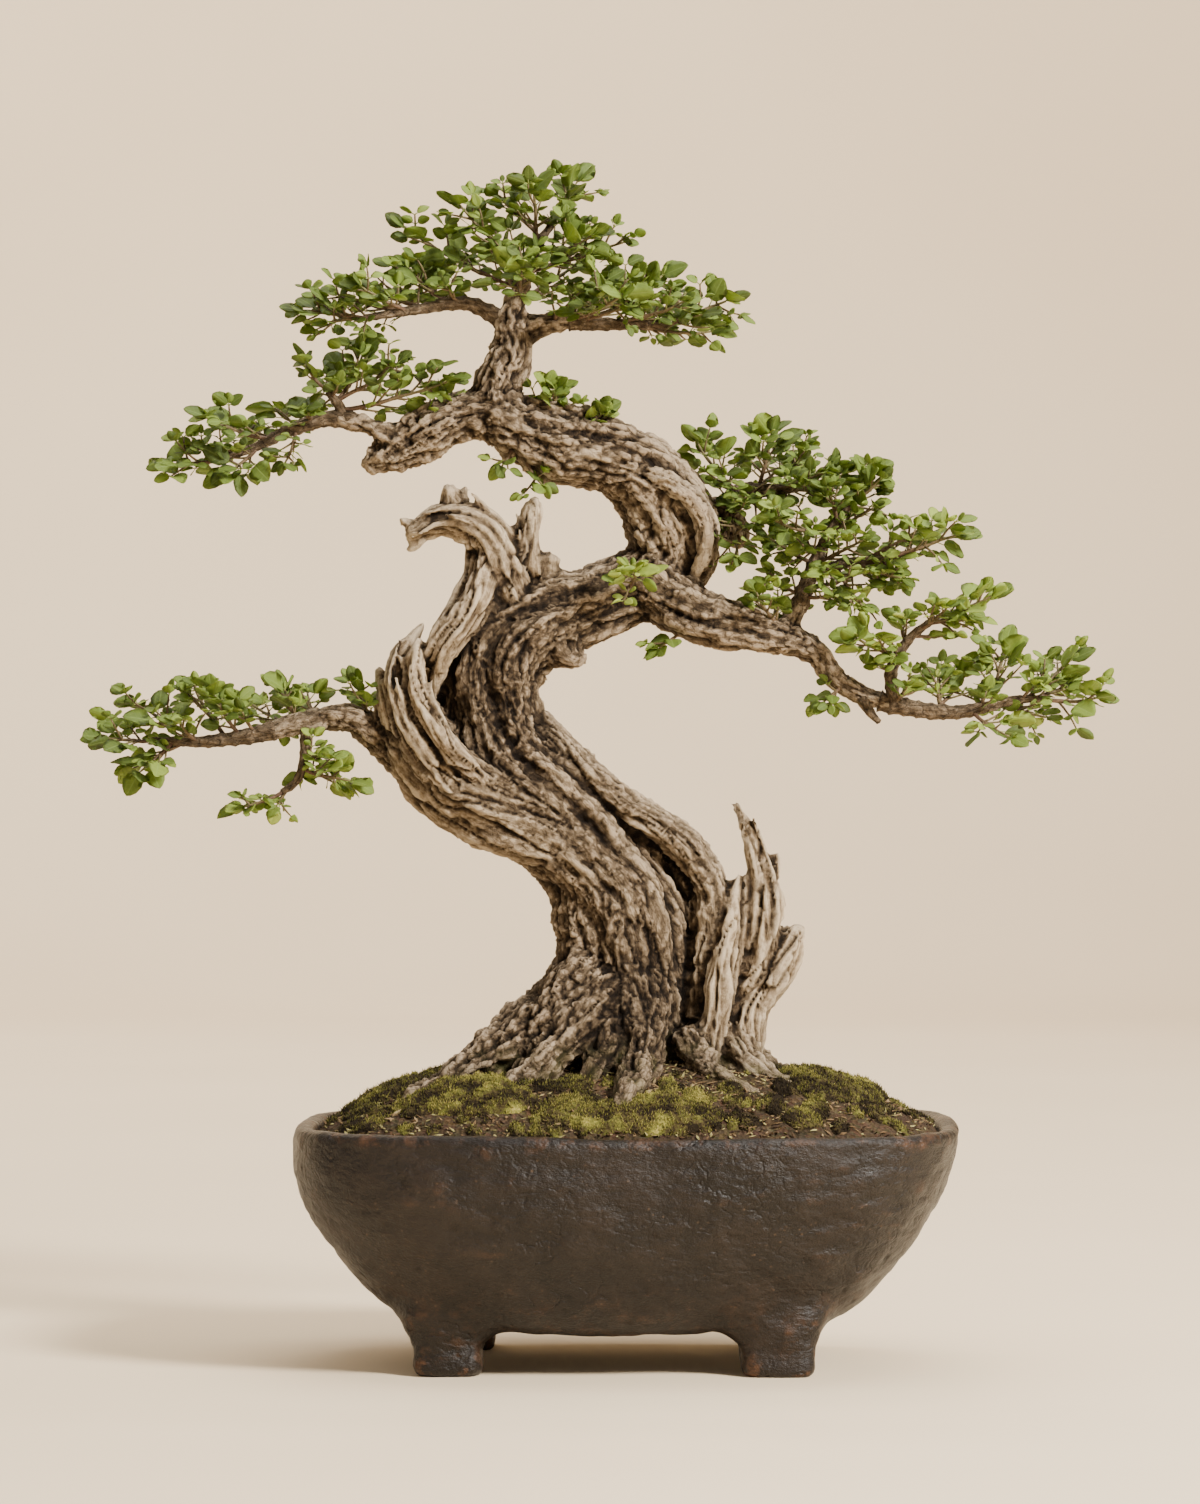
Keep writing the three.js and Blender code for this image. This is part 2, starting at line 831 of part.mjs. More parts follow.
// The whole woody plant. With grow above 0 it is the room that its neighbours leave for it.
function woodSolid(grow) {
  const parts = [];
  for (let i = 0; i + 1 < CORE_SPLITS.length; i++) {
    const piece = CORE.slice(CORE_SPLITS[i], CORE_SPLITS[i + 1] + 1);
    parts.push(limbSolid(piece, { ...CORE_FORM, grow, seed: CORE_SEED + i }));
  }
  Object.values(LIMBS).forEach((list, i) => {
    parts.push(limbSolid(list, { ...LIMB_FORM, sides: sidesOf(list), grow, seed: LIMB_SEED + i }));
  });
  Object.values(BOUGHS).forEach(({ points }, i) => {
    const form = { ...BOUGH_FORM, sides: sidesOf(points) };
    parts.push(limbSolid(points, { ...form, grow, seed: BOUGH_SEED + i }));
  });
  return mainBody(wasm.Manifold.union(parts));
}

// Foliage
// A spray is one skin: each twig and leaf is drawn out of a side of the twig that carries it.
const SPRAY_SEED = 700;
const LEAF_LENGTH = [12, 15.5];
const LEAF_SHARE = 0.82; // width over length
const BLADE_HALF_THICKNESS = 0.55;
const TIP_LEAF_REACH = 11; // from the end of a spray's stem to the point of its last leaf
const STEM_RADIUS = 1.2;
const TWIG_RADIUS = 0.85;
// Where the blade is widest and where its shoulders are: shares of its length and half width.
const BLADE_WIDE = [0.34, 1];
const BLADE_SHOULDER = [0.74, 0.8];
const BLADE_FOLD = 0.2; // how far the edges stand above the midrib, over the half width
const BLADE_WAVE = 0.35;
const BLADE_DROOP = 0.06; // how far the tip bends down, over the length
const PETIOLE = 4;
const LONGEST_TWIG = 17;
const NODE_HALF_LENGTH = 0.8;
const TWIG_END_RADIUS = 0.65;
const ONWARD_LEAF_SHARE = 0.85; // the leaf at a twig's end, over the size of a pair
const FRONT_LEAF_SHARE = 0.62; // how many leaves lean to the front, of all
const SHORT_STEM = 20; // a spray's stem under this length has one node
const MIDDLE_STEM = 52; // and under this, two
const SELF_GAP = 0.2; // between the leaves of one spray
const LEAF_CLEARING = 2.4; // a leaf or twig is free of its own stem from here on
const SMALLER_LEAF = 0.86;
// Other ways for a leaf: how far it leans across and over, against its length.
const LEAF_TURNS = [
  [0, 0],
  [0.4, 0.1],
  [-0.4, 0.1],
  [0, 0.5],
  [0, -0.5],
  [0.5, 0.5],
  [-0.5, 0.5],
];

// Four points round a twig's axis, in the order that faces the way it grows.
function twigRing(centre, way, normal, radius) {
  const side = way.clone().cross(normal);
  return [-1, 1, 1, -1].map((sign, i) =>
    centre.clone().addScaledVector(i % 2 ? normal : side, sign * radius),
  );
}

// The points of a leaf blade, folded up a little along its midrib and bent down at its tip.
function bladePoints({ base, way, normal, length }) {
  const side = way.clone().cross(normal);
  const half = (length * LEAF_SHARE) / 2;
  const at = (u, v, lift) => {
    const point = base.clone().addScaledVector(way, u * length).addScaledVector(side, v * half);
    return point.addScaledVector(normal, lift);
  };
  const edge = ([u, v], hand) => {
    const wave = hand * BLADE_WAVE * (u < 0.5 ? 1 : -1);
    return at(u, hand * v, BLADE_FOLD * v * half + wave);
  };
  const middle = BLADE_WIDE[0] + 0.08;
  return {
    wide: [
      edge(BLADE_WIDE, -1),
      at(middle, 0, BLADE_HALF_THICKNESS),
      edge(BLADE_WIDE, 1),
      at(middle, 0, -BLADE_HALF_THICKNESS),
    ],
    shoulders: [edge(BLADE_SHOULDER, -1), edge(BLADE_SHOULDER, 1)],
    tip: at(1, 0, -BLADE_DROOP * length),
  };
}

// A skin that grows from a first ring of four points.
function newSkin(ring) {
  const skin = { points: [...ring], faces: [[0, 2, 1], [0, 3, 2]] };
  return { skin, ring: [0, 1, 2, 3] };
}

// A four-sided place as two triangles, split along the diagonal that folds it less.
function flatterPair(points, [a, b, c, d]) {
  const normal = (face) => {
    const corners = face.map((index) => points[index]);
    return new THREE.Triangle(...corners).getNormal(new THREE.Vector3());
  };
  const pairs = [
    [[a, b, c], [a, c, d]],
    [[a, b, d], [b, c, d]],
  ];
  const [first, second] = pairs.map(([left, right]) => normal(left).dot(normal(right)));
  return second > first ? pairs[1] : pairs[0];
}

// Joins a ring of the skin to four new points, except on the sides that stay open for shoots.
function drawOut(skin, ring, next, open = []) {
  const first = skin.points.length;
  const turns = [0, 1, 2, 3].map((turn) =>
    ring.reduce((sum, index, i) => sum + skin.points[index].distanceTo(next[(i + turn) % 4]), 0),
  );
  const turn = turns.indexOf(Math.min(...turns));
  const made = [0, 1, 2, 3].map((i) => {
    skin.points.push(next[(i + turn) % 4]);
    return first + i;
  });
  const side = (i) => [ring[i], ring[(i + 1) % 4], made[(i + 1) % 4], made[i]];
  for (let i = 0; i < 4; i++) {
    if (!open.includes(i)) {
      skin.faces.push(...flatterPair(skin.points, side(i)));
    }
  }
  return { ring: made, side, turn };
}

function closeFlat(skin, ring) {
  skin.faces.push([ring[0], ring[1], ring[2]], [ring[0], ring[2], ring[3]]);
}

// A leaf on an open side or end of the skin; where there is no leaf the place is closed.
function drawLeaf(skin, ring, leaf) {
  if (!leaf) {
    closeFlat(skin, ring);
    return;
  }
  const { wide, shoulders, tip } = bladePoints(leaf);
  const made = drawOut(skin, ring, wide);
  const [right, top, left, bottom] = [0, 1, 2, 3].map((i) => made.ring[(i - made.turn + 4) % 4]);
  const first = skin.points.length;
  skin.points.push(...shoulders, tip);
  const [rightShoulder, leftShoulder, end] = [first, first + 1, first + 2];
  skin.faces.push([right, top, rightShoulder], [top, end, rightShoulder]);
  skin.faces.push([top, left, leftShoulder], [top, leftShoulder, end]);
  skin.faces.push([left, bottom, leftShoulder], [bottom, end, leftShoulder]);
  skin.faces.push([bottom, right, rightShoulder], [bottom, rightShoulder, end]);
}

// The blade by itself, to see whether it would run into a neighbour.
function bladeAlone(leaf) {
  const root = twigRing(leaf.base, leaf.way, leaf.normal, TWIG_END_RADIUS);
  const { skin, ring } = newSkin(root);
  drawLeaf(skin, ring, leaf);
  return solidOf(geometryFrom(skin.points, skin.faces));
}

function twigAlone(from, to, radius) {
  const way = to.clone().sub(from).normalize();
  const normal = normalTo(way, new THREE.Vector3(0, 0, 1));
  const { skin, ring } = newSkin(twigRing(from, way, normal, radius));
  closeFlat(skin, drawOut(skin, ring, twigRing(to, way, normal, radius)).ring);
  return solidOf(geometryFrom(skin.points, skin.faces));
}

// The direction at a right angle to a way that is nearest to a wished one.
function normalTo(way, wish) {
  const normal = wish.clone().addScaledVector(way, -wish.dot(way));
  if (normal.length() < 0.15) {
    normal.set(0, -1, 0).addScaledVector(way, way.y);
  }
  return normal.normalize();
}

// A way turned by an angle towards a direction at a right angle to it.
function turned(way, towards, angle) {
  return way.clone().multiplyScalar(Math.cos(angle)).addScaledVector(towards, Math.sin(angle));
}

// The way a leaf's face looks: mostly up, leaning to the front or to the back.
function leafFacing(random) {
  const lean = random() < FRONT_LEAF_SHARE ? -1 : 1;
  const x = 1.5 * random() - 0.75;
  return new THREE.Vector3(x, lean * (0.3 + 0.9 * random()), 0.75);
}

const leafLength = (random) => LEAF_LENGTH[0] + (LEAF_LENGTH[1] - LEAF_LENGTH[0]) * random();

// The leaves round the end of a twig: an opposite pair and one that goes on with the twig.
function planCluster(random, end, way, normal) {
  const between = (low, high) => low + (high - low) * random();
  const side = way.clone().cross(normal);
  const leaf = (direction, share) => {
    const facing = normalTo(direction, leafFacing(random));
    return { base: end.clone(), way: direction, normal: facing, length: share * leafLength(random) };
  };
  const open = between(0.8, 1.15);
  const pair = [side.clone().negate(), side].map((towards) => leaf(turned(way, towards, open), 1));
  const onward = leaf(turned(way, normal, between(-0.35, 0.2)), ONWARD_LEAF_SHARE);
  return { pair, onward };
}

// Where the nodes are along a stem: short stems have one, long ones up to three.
function nodeShares(length) {
  if (length < SHORT_STEM) {
    return [0.55];
  }
  return length < MIDDLE_STEM ? [0.4, 0.73] : [0.34, 0.58, 0.8];
}

// How far a shoot reaches out from a node: the first node of a long stem has twigs.
function shootReach(length, k, share) {
  if (length < SHORT_STEM) {
    return 0;
  }
  return k === 0 ? Math.min(LONGEST_TWIG, length * share) : PETIOLE;
}

// The plan of a spray: nodes along its stem, each with a pair of twigs or of leaves, and its tip.
function planSpray(base, target, seed) {
  const random = randomFrom(seed);
  const between = (low, high) => low + (high - low) * random();
  const up = new THREE.Vector3(0, 0, 1);
  const line = target.clone().sub(base);
  const length = line.length() - TIP_LEAF_REACH;
  const tip = base.clone().addScaledVector(line.clone().normalize(), length);
  const bow = new THREE.Vector3(between(-0.1, 0.1), between(-0.1, 0.1), between(-0.12, 0.02));
  const middle = base.clone().lerp(tip, 0.5).addScaledVector(bow, length);
  const stem = new THREE.QuadraticBezierCurve3(base, middle, tip);
  const shares = nodeShares(length);
  const nodes = shares.map((share, k) => {
    const root = stem.getPoint(share);
    const way = stem.getTangent(share);
    const normal = normalTo(way, up);
    const side = way.clone().cross(normal);
    const towards = turned(side, normal, between(-0.45, 0.45) + (k === 1 ? 0.6 : 0));
    const twigReach = shootReach(length, k, between(0.3, 0.42));
    const shoots = [-1, 1].map((sign) => {
      const outward = towards.clone().multiplyScalar(sign);
      const heading = turned(way, outward, between(0.85, 1.2));
      heading.addScaledVector(up, between(0, 0.3)).normalize();
      const end = root.clone().addScaledVector(heading, twigReach);
      const facing = normalTo(heading, leafFacing(random));
      const leaf = { base: end, way: heading, normal: facing, length: leafLength(random) };
      return { outward, heading, end, isTwig: twigReach > 0, leaf };
    });
    return { root, way, shoots };
  });
  const baseWay = stem.getTangent(0);
  const tipWay = stem.getTangent(1);
  const cluster = planCluster(random, tip, tipWay, normalTo(tipWay, up));
  return { base, baseWay, nodes, tip, tipWay, cluster };
}

function boxesMeet(a, b, gap) {
  return [0, 1, 2].every((k) => a.min[k] - gap < b.max[k] && b.min[k] - gap < a.max[k]);
}

function clearOf(solid, others, gap) {
  const box = solid.boundingBox();
  const near = others.filter((other) => boxesMeet(box, other.box, gap));
  return near.every((other) => solid.minGap(other.solid, gap) >= gap * 0.95);
}

const boxed = (solid) => ({ solid, box: solid.boundingBox() });

// A leaf as planned and, for where it has no room, the same leaf turned or smaller.
function* leafChoices(leaf) {
  const side = leaf.way.clone().cross(leaf.normal);
  for (const share of [1, SMALLER_LEAF]) {
    for (const [across, over] of LEAF_TURNS) {
      const way = leaf.way.clone().addScaledVector(side, across);
      way.addScaledVector(leaf.normal, over).normalize();
      yield { ...leaf, way, normal: normalTo(way, leaf.normal), length: leaf.length * share };
    }
  }
}

// Keeps what has room: a leaf or twig that would cross wood, a neighbour or its own stem is
// turned clear, and left off where no turn helps.
function fitted(plan, around) {
  const own = [];
  const stops = [plan.base, ...plan.nodes.map((node) => node.root), plan.tip];
  for (let i = 0; i + 1 < stops.length; i++) {
    own.push(boxed(twigAlone(stops[i], stops[i + 1], TWIG_RADIUS * 0.8)));
  }
  const outside = (from, way) => from.clone().addScaledVector(way, LEAF_CLEARING);
  const fit = (leaf) => {
    for (const choice of leafChoices(leaf)) {
      const outer = bladeAlone({ ...choice, base: outside(choice.base, choice.way) });
      if (clearOf(outer, own, SELF_GAP) && clearOf(bladeAlone(choice), around, GAP)) {
        own.push(boxed(outer));
        return choice;
      }
    }
    return null;
  };
  const { pair, onward } = plan.cluster;
  const cluster = { onward: fit(onward), pair: pair.map(fit) };
  const fitShoot = (root, shoot) => {
    if (shoot.isTwig) {
      const twig = twigAlone(outside(root, shoot.heading), shoot.end, TWIG_RADIUS);
      if (!clearOf(twig, [...own, ...around], GAP)) {
        return null;
      }
    }
    const leaf = fit(shoot.leaf);
    if (leaf && shoot.isTwig) {
      own.push(boxed(twigAlone(outside(root, shoot.heading), shoot.end, TWIG_RADIUS)));
    }
    return leaf && { ...shoot, leaf };
  };
  const nodes = plan.nodes.map(({ root, way, shoots }) => ({
    root,
    way,
    shoots: shoots.map((shoot) => fitShoot(root, shoot)),
  }));
  return { ...plan, cluster, nodes };
}

// Draws the node at the end of a twig: two leaves from its sides and one from its end.
function drawCluster(skin, ring, end, way, normal, { pair, onward }) {
  const top = end.clone().addScaledVector(way, 1);
  const right = sideTowards(skin, ring, end, way.clone().cross(normal));
  const left = (right + 2) % 4;
  const node = drawOut(skin, ring, turnedRing(top, way, normal, TWIG_END_RADIUS), [left, right]);
  drawLeaf(skin, node.side(left), pair[0]);
  drawLeaf(skin, node.side(right), pair[1]);
  drawLeaf(skin, node.ring, onward);
}

// Four points with flat sides, not corners, towards the normal.
function turnedRing(centre, way, normal, radius) {
  const side = way.clone().cross(normal);
  const diagonal = side.clone().add(normal).normalize();
  return twigRing(centre, way, diagonal, radius);
}

// The side of a ring that looks most towards a direction.
function sideTowards(skin, ring, centre, direction) {
  const looks = [0, 1, 2, 3].map((i) => {
    const middle = skin.points[ring[i]].clone().add(skin.points[ring[(i + 1) % 4]]).multiplyScalar(0.5);
    return middle.sub(centre).dot(direction);
  });
  return looks.indexOf(Math.max(...looks));
}

// A spray's solid: stem, twigs and blades as one skin.
function spraySkin({ base, baseWay, nodes, tip, tipWay, cluster }) {
  const up = new THREE.Vector3(0, 0, 1);
  const start = newSkin(turnedRing(base, baseWay, normalTo(baseWay, up), STEM_RADIUS));
  const { skin } = start;
  let ring = start.ring;
  for (const { root, way, shoots } of nodes) {
    const normal = normalTo(way, up);
    const towards = normalTo(way, shoots.find((shoot) => shoot)?.outward ?? normal);
    const low = root.clone().addScaledVector(way, -NODE_HALF_LENGTH);
    const high = root.clone().addScaledVector(way, NODE_HALF_LENGTH);
    ring = drawOut(skin, ring, turnedRing(low, way, towards, TWIG_RADIUS + 0.1)).ring;
    const sides = shoots.map((shoot) => (shoot ? sideTowards(skin, ring, low, shoot.outward) : -1));
    const node = drawOut(skin, ring, turnedRing(high, way, towards, TWIG_RADIUS + 0.05), sides);
    shoots.forEach((shoot, k) => {
      if (shoot) {
        drawShoot(skin, node.side(sides[k]), shoot);
      }
    });
    ring = node.ring;
  }
  const normal = normalTo(tipWay, up);
  ring = drawOut(skin, ring, turnedRing(tip, tipWay, normal, TWIG_RADIUS)).ring;
  drawCluster(skin, ring, tip, tipWay, normal, cluster);
  return solidOf(geometryFrom(skin.points, skin.faces));
}

function drawShoot(skin, ring, { heading, end, isTwig, leaf }) {
  const twigEnd = () => turnedRing(end, heading, leaf.normal, TWIG_END_RADIUS);
  drawLeaf(skin, isTwig ? drawOut(skin, ring, twigEnd()).ring : ring, leaf);
}

// The sprays of every bough, each from a seat on its bough's axis.
function sprayPlans() {
  const plans = [];
  const add = (name, base, tip) => {
    const seed = SPRAY_SEED + 13 * plans.length;
    plans.push({ name: `spray_${name}`, plan: planSpray(base, seen(...tip), seed) });
  };
  for (const [name, { points, sprays }] of Object.entries(BOUGHS)) {
    const curve = new THREE.CatmullRomCurve3(toPoints(points), false, "centripetal");
    sprays.forEach(([place, ...tip], k) => add(`${name}_${k + 1}`, curve.getPoint(place), tip));
  }
  for (const [name, base, tip] of TRUNK_SHOOTS) {
    add(`trunk_${name}`, seen(...base), tip);
  }
  return plans;
}

// Assembly
const wood = woodSolid(0);
const woodRoom = woodSolid(GAP);
const uncutSoil = soilSolid();
const soilBody = mainBody(
  uncutSoil.subtract(woodRoom).subtract(screenPocket(-1)).subtract(screenPocket(1)),
);
addMesh("pot", potSolid(), MATERIALS.stoneware);
addMesh("drain_screen_left", screenSolid(-1), MATERIALS.plastic);
addMesh("drain_screen_right", screenSolid(1), MATERIALS.plastic);
addMesh("soil", soilBody, MATERIALS.soil);
for (const cushion of MOSS) {
  addMesh(cushion[0], mossSolid(cushion, uncutSoil, woodRoom), MATERIALS.moss);
}
addMesh("trunk", wood, MATERIALS.wood);
const placed = [boxed(wood)];
for (const { name, plan } of sprayPlans()) {
  const body = mainBody(spraySkin(fitted(plan, placed)).subtract(woodRoom));
  placed.push(boxed(body));
  addMesh(name, body, MATERIALS.leaf);
}

export default bonsai;
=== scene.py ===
import math
from functools import partial

import bmesh
import bpy
import numpy as np
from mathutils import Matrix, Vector


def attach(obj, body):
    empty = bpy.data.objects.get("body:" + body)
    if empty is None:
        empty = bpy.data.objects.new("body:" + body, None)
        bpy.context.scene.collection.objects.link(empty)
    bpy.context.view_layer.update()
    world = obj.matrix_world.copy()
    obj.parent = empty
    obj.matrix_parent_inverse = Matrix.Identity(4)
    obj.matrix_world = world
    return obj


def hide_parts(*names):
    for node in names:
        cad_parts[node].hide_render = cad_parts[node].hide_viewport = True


# The looks of a premna bonsai in its pot. Lengths are in millimetres until a mesh is made.
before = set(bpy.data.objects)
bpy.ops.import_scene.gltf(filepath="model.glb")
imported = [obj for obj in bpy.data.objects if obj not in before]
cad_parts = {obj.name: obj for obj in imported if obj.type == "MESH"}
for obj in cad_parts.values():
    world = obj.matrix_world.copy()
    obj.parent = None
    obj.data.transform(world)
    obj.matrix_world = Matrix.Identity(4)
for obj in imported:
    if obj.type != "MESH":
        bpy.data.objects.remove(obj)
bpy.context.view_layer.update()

# Driving dimensions, those of the construction
MM = 0.001
POT_CENTRE_X = 13.5
POT_HALF_WIDTH = 165
POT_HALF_DEPTH = 115
PLAN_POWER = 3.2
RIM_Z = 119.5
WALL = 11
FLOOR_TOP_Z = 31
BOWL_BOTTOM_Z = 19.5
SOIL_EDGE_Z = 116.5
SOIL_GAP = 0.35  # between the soil and the clay
MOUND_HEIGHT = 33
EYE_DISTANCE = 2500
EYE_HEIGHT = 304
DRAIN_X = 42
DRAIN_RADIUS = 9
# The creases down the pot's sides: their angles, and their height and width as shares of the reach
CREASES = (-2.57, -0.56, 0.58, 2.56)
CREASE_HEIGHT = 0.018
CREASE_WIDTH = 0.09


# Numbers and noise

def random_from(seed):
    """A repeatable source of numbers from 0 to 1, the one that the construction uses too."""
    state = seed & 0xFFFFFFFF

    def draw():
        nonlocal state
        state = (state + 0x6D2B79F5) & 0xFFFFFFFF
        t = ((state ^ (state >> 15)) * (state | 1)) & 0xFFFFFFFF
        t ^= (t + (((t ^ (t >> 7)) * (t | 61)) & 0xFFFFFFFF)) & 0xFFFFFFFF
        return ((t ^ (t >> 14)) & 0xFFFFFFFF) / 4294967296

    return draw


def between(random, low, high):
    return low + (high - low) * random()


def hashed(cell, salt):
    """A number from -1 to 1 for each cell of a lattice."""
    h = cell[0] * np.uint32(374761393) + cell[1] * np.uint32(668265263)
    h = h + cell[2] * np.uint32(1274126177) + np.uint32(salt * 7919 + 17)
    h = (h ^ (h >> np.uint32(13))) * np.uint32(1103515245)
    h = (h ^ (h >> np.uint32(16))) * np.uint32(2246822519)
    return (h ^ (h >> np.uint32(15))) / 2147483647.5 - 1


def lattice(x, y, z):
    """The cells of a lattice that points are in, and their places in those cells."""
    floors = [np.floor(c) for c in (x, y, z)]
    cells = [f.astype(np.int64).astype(np.uint32) for f in floors]
    return cells, [c - f for c, f in zip((x, y, z), floors)]


def noise(x, y, z, seed=0):
    """Smooth gradient noise, about -1 to 1, with a cell size of 1."""
    x, y, z = np.broadcast_arrays(x, y, z)
    cells, parts = lattice(x, y, z)
    fades = [p * p * p * (p * (p * 6 - 15) + 10) for p in parts]
    total = np.zeros(x.shape)
    for corner in np.ndindex(2, 2, 2):
        cell = [c + np.uint32(d) for c, d in zip(cells, corner)]
        weight = np.prod([f if d else 1 - f for f, d in zip(fades, corner)], axis=0)
        slope = sum(hashed(cell, 3 * seed + k) * (parts[k] - corner[k]) for k in range(3))
        total += weight * slope
    return 1.5 * total


def flakes(x, y, z, seed):
    """Cells with crooked borders: each point's distance to its cell's border, and its cell's own value."""
    cells, parts = lattice(x, y, z)
    nearest, second, own = np.full(x.shape, 9.0), np.full(x.shape, 9.0), np.zeros(x.shape)
    for corner in np.ndindex(3, 3, 3):
        cell = [c + np.int64(k - 1).astype(np.uint32) for c, k in zip(cells, corner)]
        gap = sum((k - 0.5 + 0.42 * hashed(cell, seed + i) - parts[i]) ** 2 for i, k in enumerate(corner))
        closer = gap < nearest
        second = np.where(closer, nearest, np.minimum(second, gap))
        own = np.where(closer, hashed(cell, seed + 3), own)
        nearest = np.where(closer, gap, nearest)
    return np.sqrt(second) - np.sqrt(nearest), own


def valleys(value, softness=0.05):
    """Round ridges from 0 to 1 with valleys where a noise crosses 0."""
    return np.clip(2.2 * (np.sqrt(value * value + softness**2) - softness), 0, 1) ** 0.75


def smooth_step(low, high, value):
    t = np.clip((value - low) / (high - low), 0, 1)
    return t * t * (3 - 2 * t)


def unit(vectors):
    return vectors / np.maximum(np.linalg.norm(vectors, axis=-1, keepdims=True), 1e-12)


def dot(a, b):
    return np.einsum("ij,ij->i", a, b)


def turns(count):
    """Angles all the way round, evenly spaced."""
    return np.arange(count) / count * 2 * math.pi


def around(angle, radius, along=0.0):
    """Points at angles round an axis, at a radius and a height along it."""
    return np.stack([radius * np.cos(angle), radius * np.sin(angle), along + 0 * angle], 1)


def bowed(t, start, middle, end):
    """Points at t from 0 to 1 on a curve from start to end that is drawn towards the middle."""
    return (1 - t) ** 2 * start + 2 * t * (1 - t) * middle + t * t * end


def seen(points):
    """Points given as they are seen from the front, at depth y behind the plane of the trunk."""
    points = np.array(points, float)
    spread = (EYE_DISTANCE + points[..., 1]) / EYE_DISTANCE
    x = points[..., 0] * spread
    z = EYE_HEIGHT + (points[..., 2] - EYE_HEIGHT) * spread
    return np.stack([x, points[..., 1], z], axis=-1)


def curve_at(points, places):
    """Points at places from 0 to 1 along a smooth curve through given points."""
    places = np.atleast_1d(places)
    p = np.vstack([2 * points[0] - points[1], points, 2 * points[-1] - points[-2]])
    spot = np.clip(places, 0, 1) * (len(points) - 1)
    i = np.minimum(spot.astype(int), len(points) - 2)
    w = (spot - i)[:, None]
    p0, p1, p2, p3 = (p[i + k] for k in range(4))
    d0, d1, d2 = (np.linalg.norm(b - a, axis=1)[:, None] ** 0.5 for a, b in ((p0, p1), (p1, p2), (p2, p3)))
    m1 = ((p1 - p0) / d0 - (p2 - p0) / (d0 + d1) + (p2 - p1) / d1) * d1
    m2 = ((p2 - p1) / d1 - (p3 - p1) / (d1 + d2) + (p3 - p2) / d2) * d1
    square = -3 * p1 + 3 * p2 - 2 * m1 - m2
    return p1 + m1 * w + square * w**2 + (2 * p1 - 2 * p2 + m1 + m2) * w**3


# Meshes

class Shape:
    """Points and faces that grow part by part into one mesh."""

    def __init__(self):
        self.points, self.faces, self.materials, self.values = [], [], [], {}
        self.count = 0

    def add(self, points, faces, material=0, **values):
        points = np.asarray(points, float).reshape(-1, 3)
        self.points.append(points)
        self.faces.append(np.asarray(faces, int) + self.count)
        self.materials.append(np.full(len(faces), material))
        self.give(self.count, len(points), values)
        self.count += len(points)

    def give(self, start, count, values):
        """Gives values, each a number or a vector, to so many points from start on."""
        for name, value in values.items():
            value = np.asarray(value, float)
            held = np.broadcast_to(value, (count, 3) if value.shape[-1:] == (3,) else (count,))
            self.values.setdefault(name, []).append((start, held))

    def more_faces(self, faces, start, material):
        """More faces on points that were added before, counted from start."""
        self.faces.append(np.asarray(faces, int) + start)
        self.materials.append(np.full(len(faces), material))

    def add_closed(self, points, sides, material=0, **values):
        """Rings of points, then the points in which its two ends close, as one closed skin."""
        total = len(points) - 2
        start = self.count
        self.add(points, grid_faces(total // sides, sides), material, **values)
        first = cap_faces(0, sides, total, True)
        last = cap_faces(total - sides, sides, total + 1, False)
        self.more_faces(np.vstack([first, last]), start, material)

    def mesh(self, name):
        mesh = bpy.data.meshes.new(name)
        mesh.vertices.add(self.count)
        mesh.vertices.foreach_set("co", (np.vstack(self.points) * MM).ravel())
        sizes = np.concatenate([np.full(len(f), f.shape[1]) for f in self.faces])
        mesh.loops.add(int(sizes.sum()))
        mesh.loops.foreach_set("vertex_index", np.concatenate([f.ravel() for f in self.faces]))
        mesh.polygons.add(len(sizes))
        mesh.polygons.foreach_set("loop_start", np.concatenate([[0], np.cumsum(sizes)[:-1]]))
        mesh.polygons.foreach_set("loop_total", sizes)
        mesh.polygons.foreach_set("material_index", np.concatenate(self.materials))
        mesh.update(calc_edges=True)
        for key, rows in self.values.items():
            wide = rows[0][1].ndim == 2
            kind = "FLOAT_VECTOR" if wide else "FLOAT"
            attribute = mesh.attributes.new(key, kind, "POINT")
            held = np.zeros((self.count, 3) if wide else self.count, np.float32)
            for start, value in rows:
                held[start : start + len(value)] = value
            attribute.data.foreach_set("vector" if wide else "value", held.ravel())
        return mesh


def add_object(name, data):
    thing = bpy.data.objects.new(name, data)
    bpy.context.scene.collection.objects.link(thing)
    return thing


def evaluated(thing):
    return thing.evaluated_get(bpy.context.evaluated_depsgraph_get())


def add_piece(name, shape, materials, replaces=(), most=None, smooth=True):
    """Puts a shape into the scene as a piece of the plant or of its pot, with at most so many triangles."""
    mesh = shape.mesh(name)
    for material in materials:
        mesh.materials.append(material)
    mesh.polygons.foreach_set("use_smooth", np.full(len(mesh.polygons), smooth))
    piece = add_object(name, mesh)
    triangles = 2 * len(mesh.polygons)
    if most and triangles > most:
        thinner = piece.modifiers.new("thinner", "DECIMATE")
        thinner.ratio = most / triangles
        thin = bpy.data.meshes.new_from_object(evaluated(piece))
        piece.modifiers.clear()
        piece.data = thin
        bpy.data.meshes.remove(mesh)
        thin.name = name
        thin.validate()
    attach(piece, "root")
    if replaces:
        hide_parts(*replaces)


def grid_faces(rows, columns):
    """The quads of a grid of points, row by row and closed round."""
    i, j = np.meshgrid(np.arange(rows - 1), np.arange(columns), indexing="ij")
    a = i * columns + j
    b = i * columns + (j + 1) % columns
    return np.stack([a, b, b + columns, a + columns], axis=-1).reshape(-1, 4)


def cap_faces(first, count, middle, flip):
    """A fan of triangles from a ring of points to its middle."""
    i = np.arange(count)
    fan = np.stack([first + i, first + (i + 1) % count, np.full(count, middle)], axis=-1)
    return fan[:, ::-1] if flip else fan


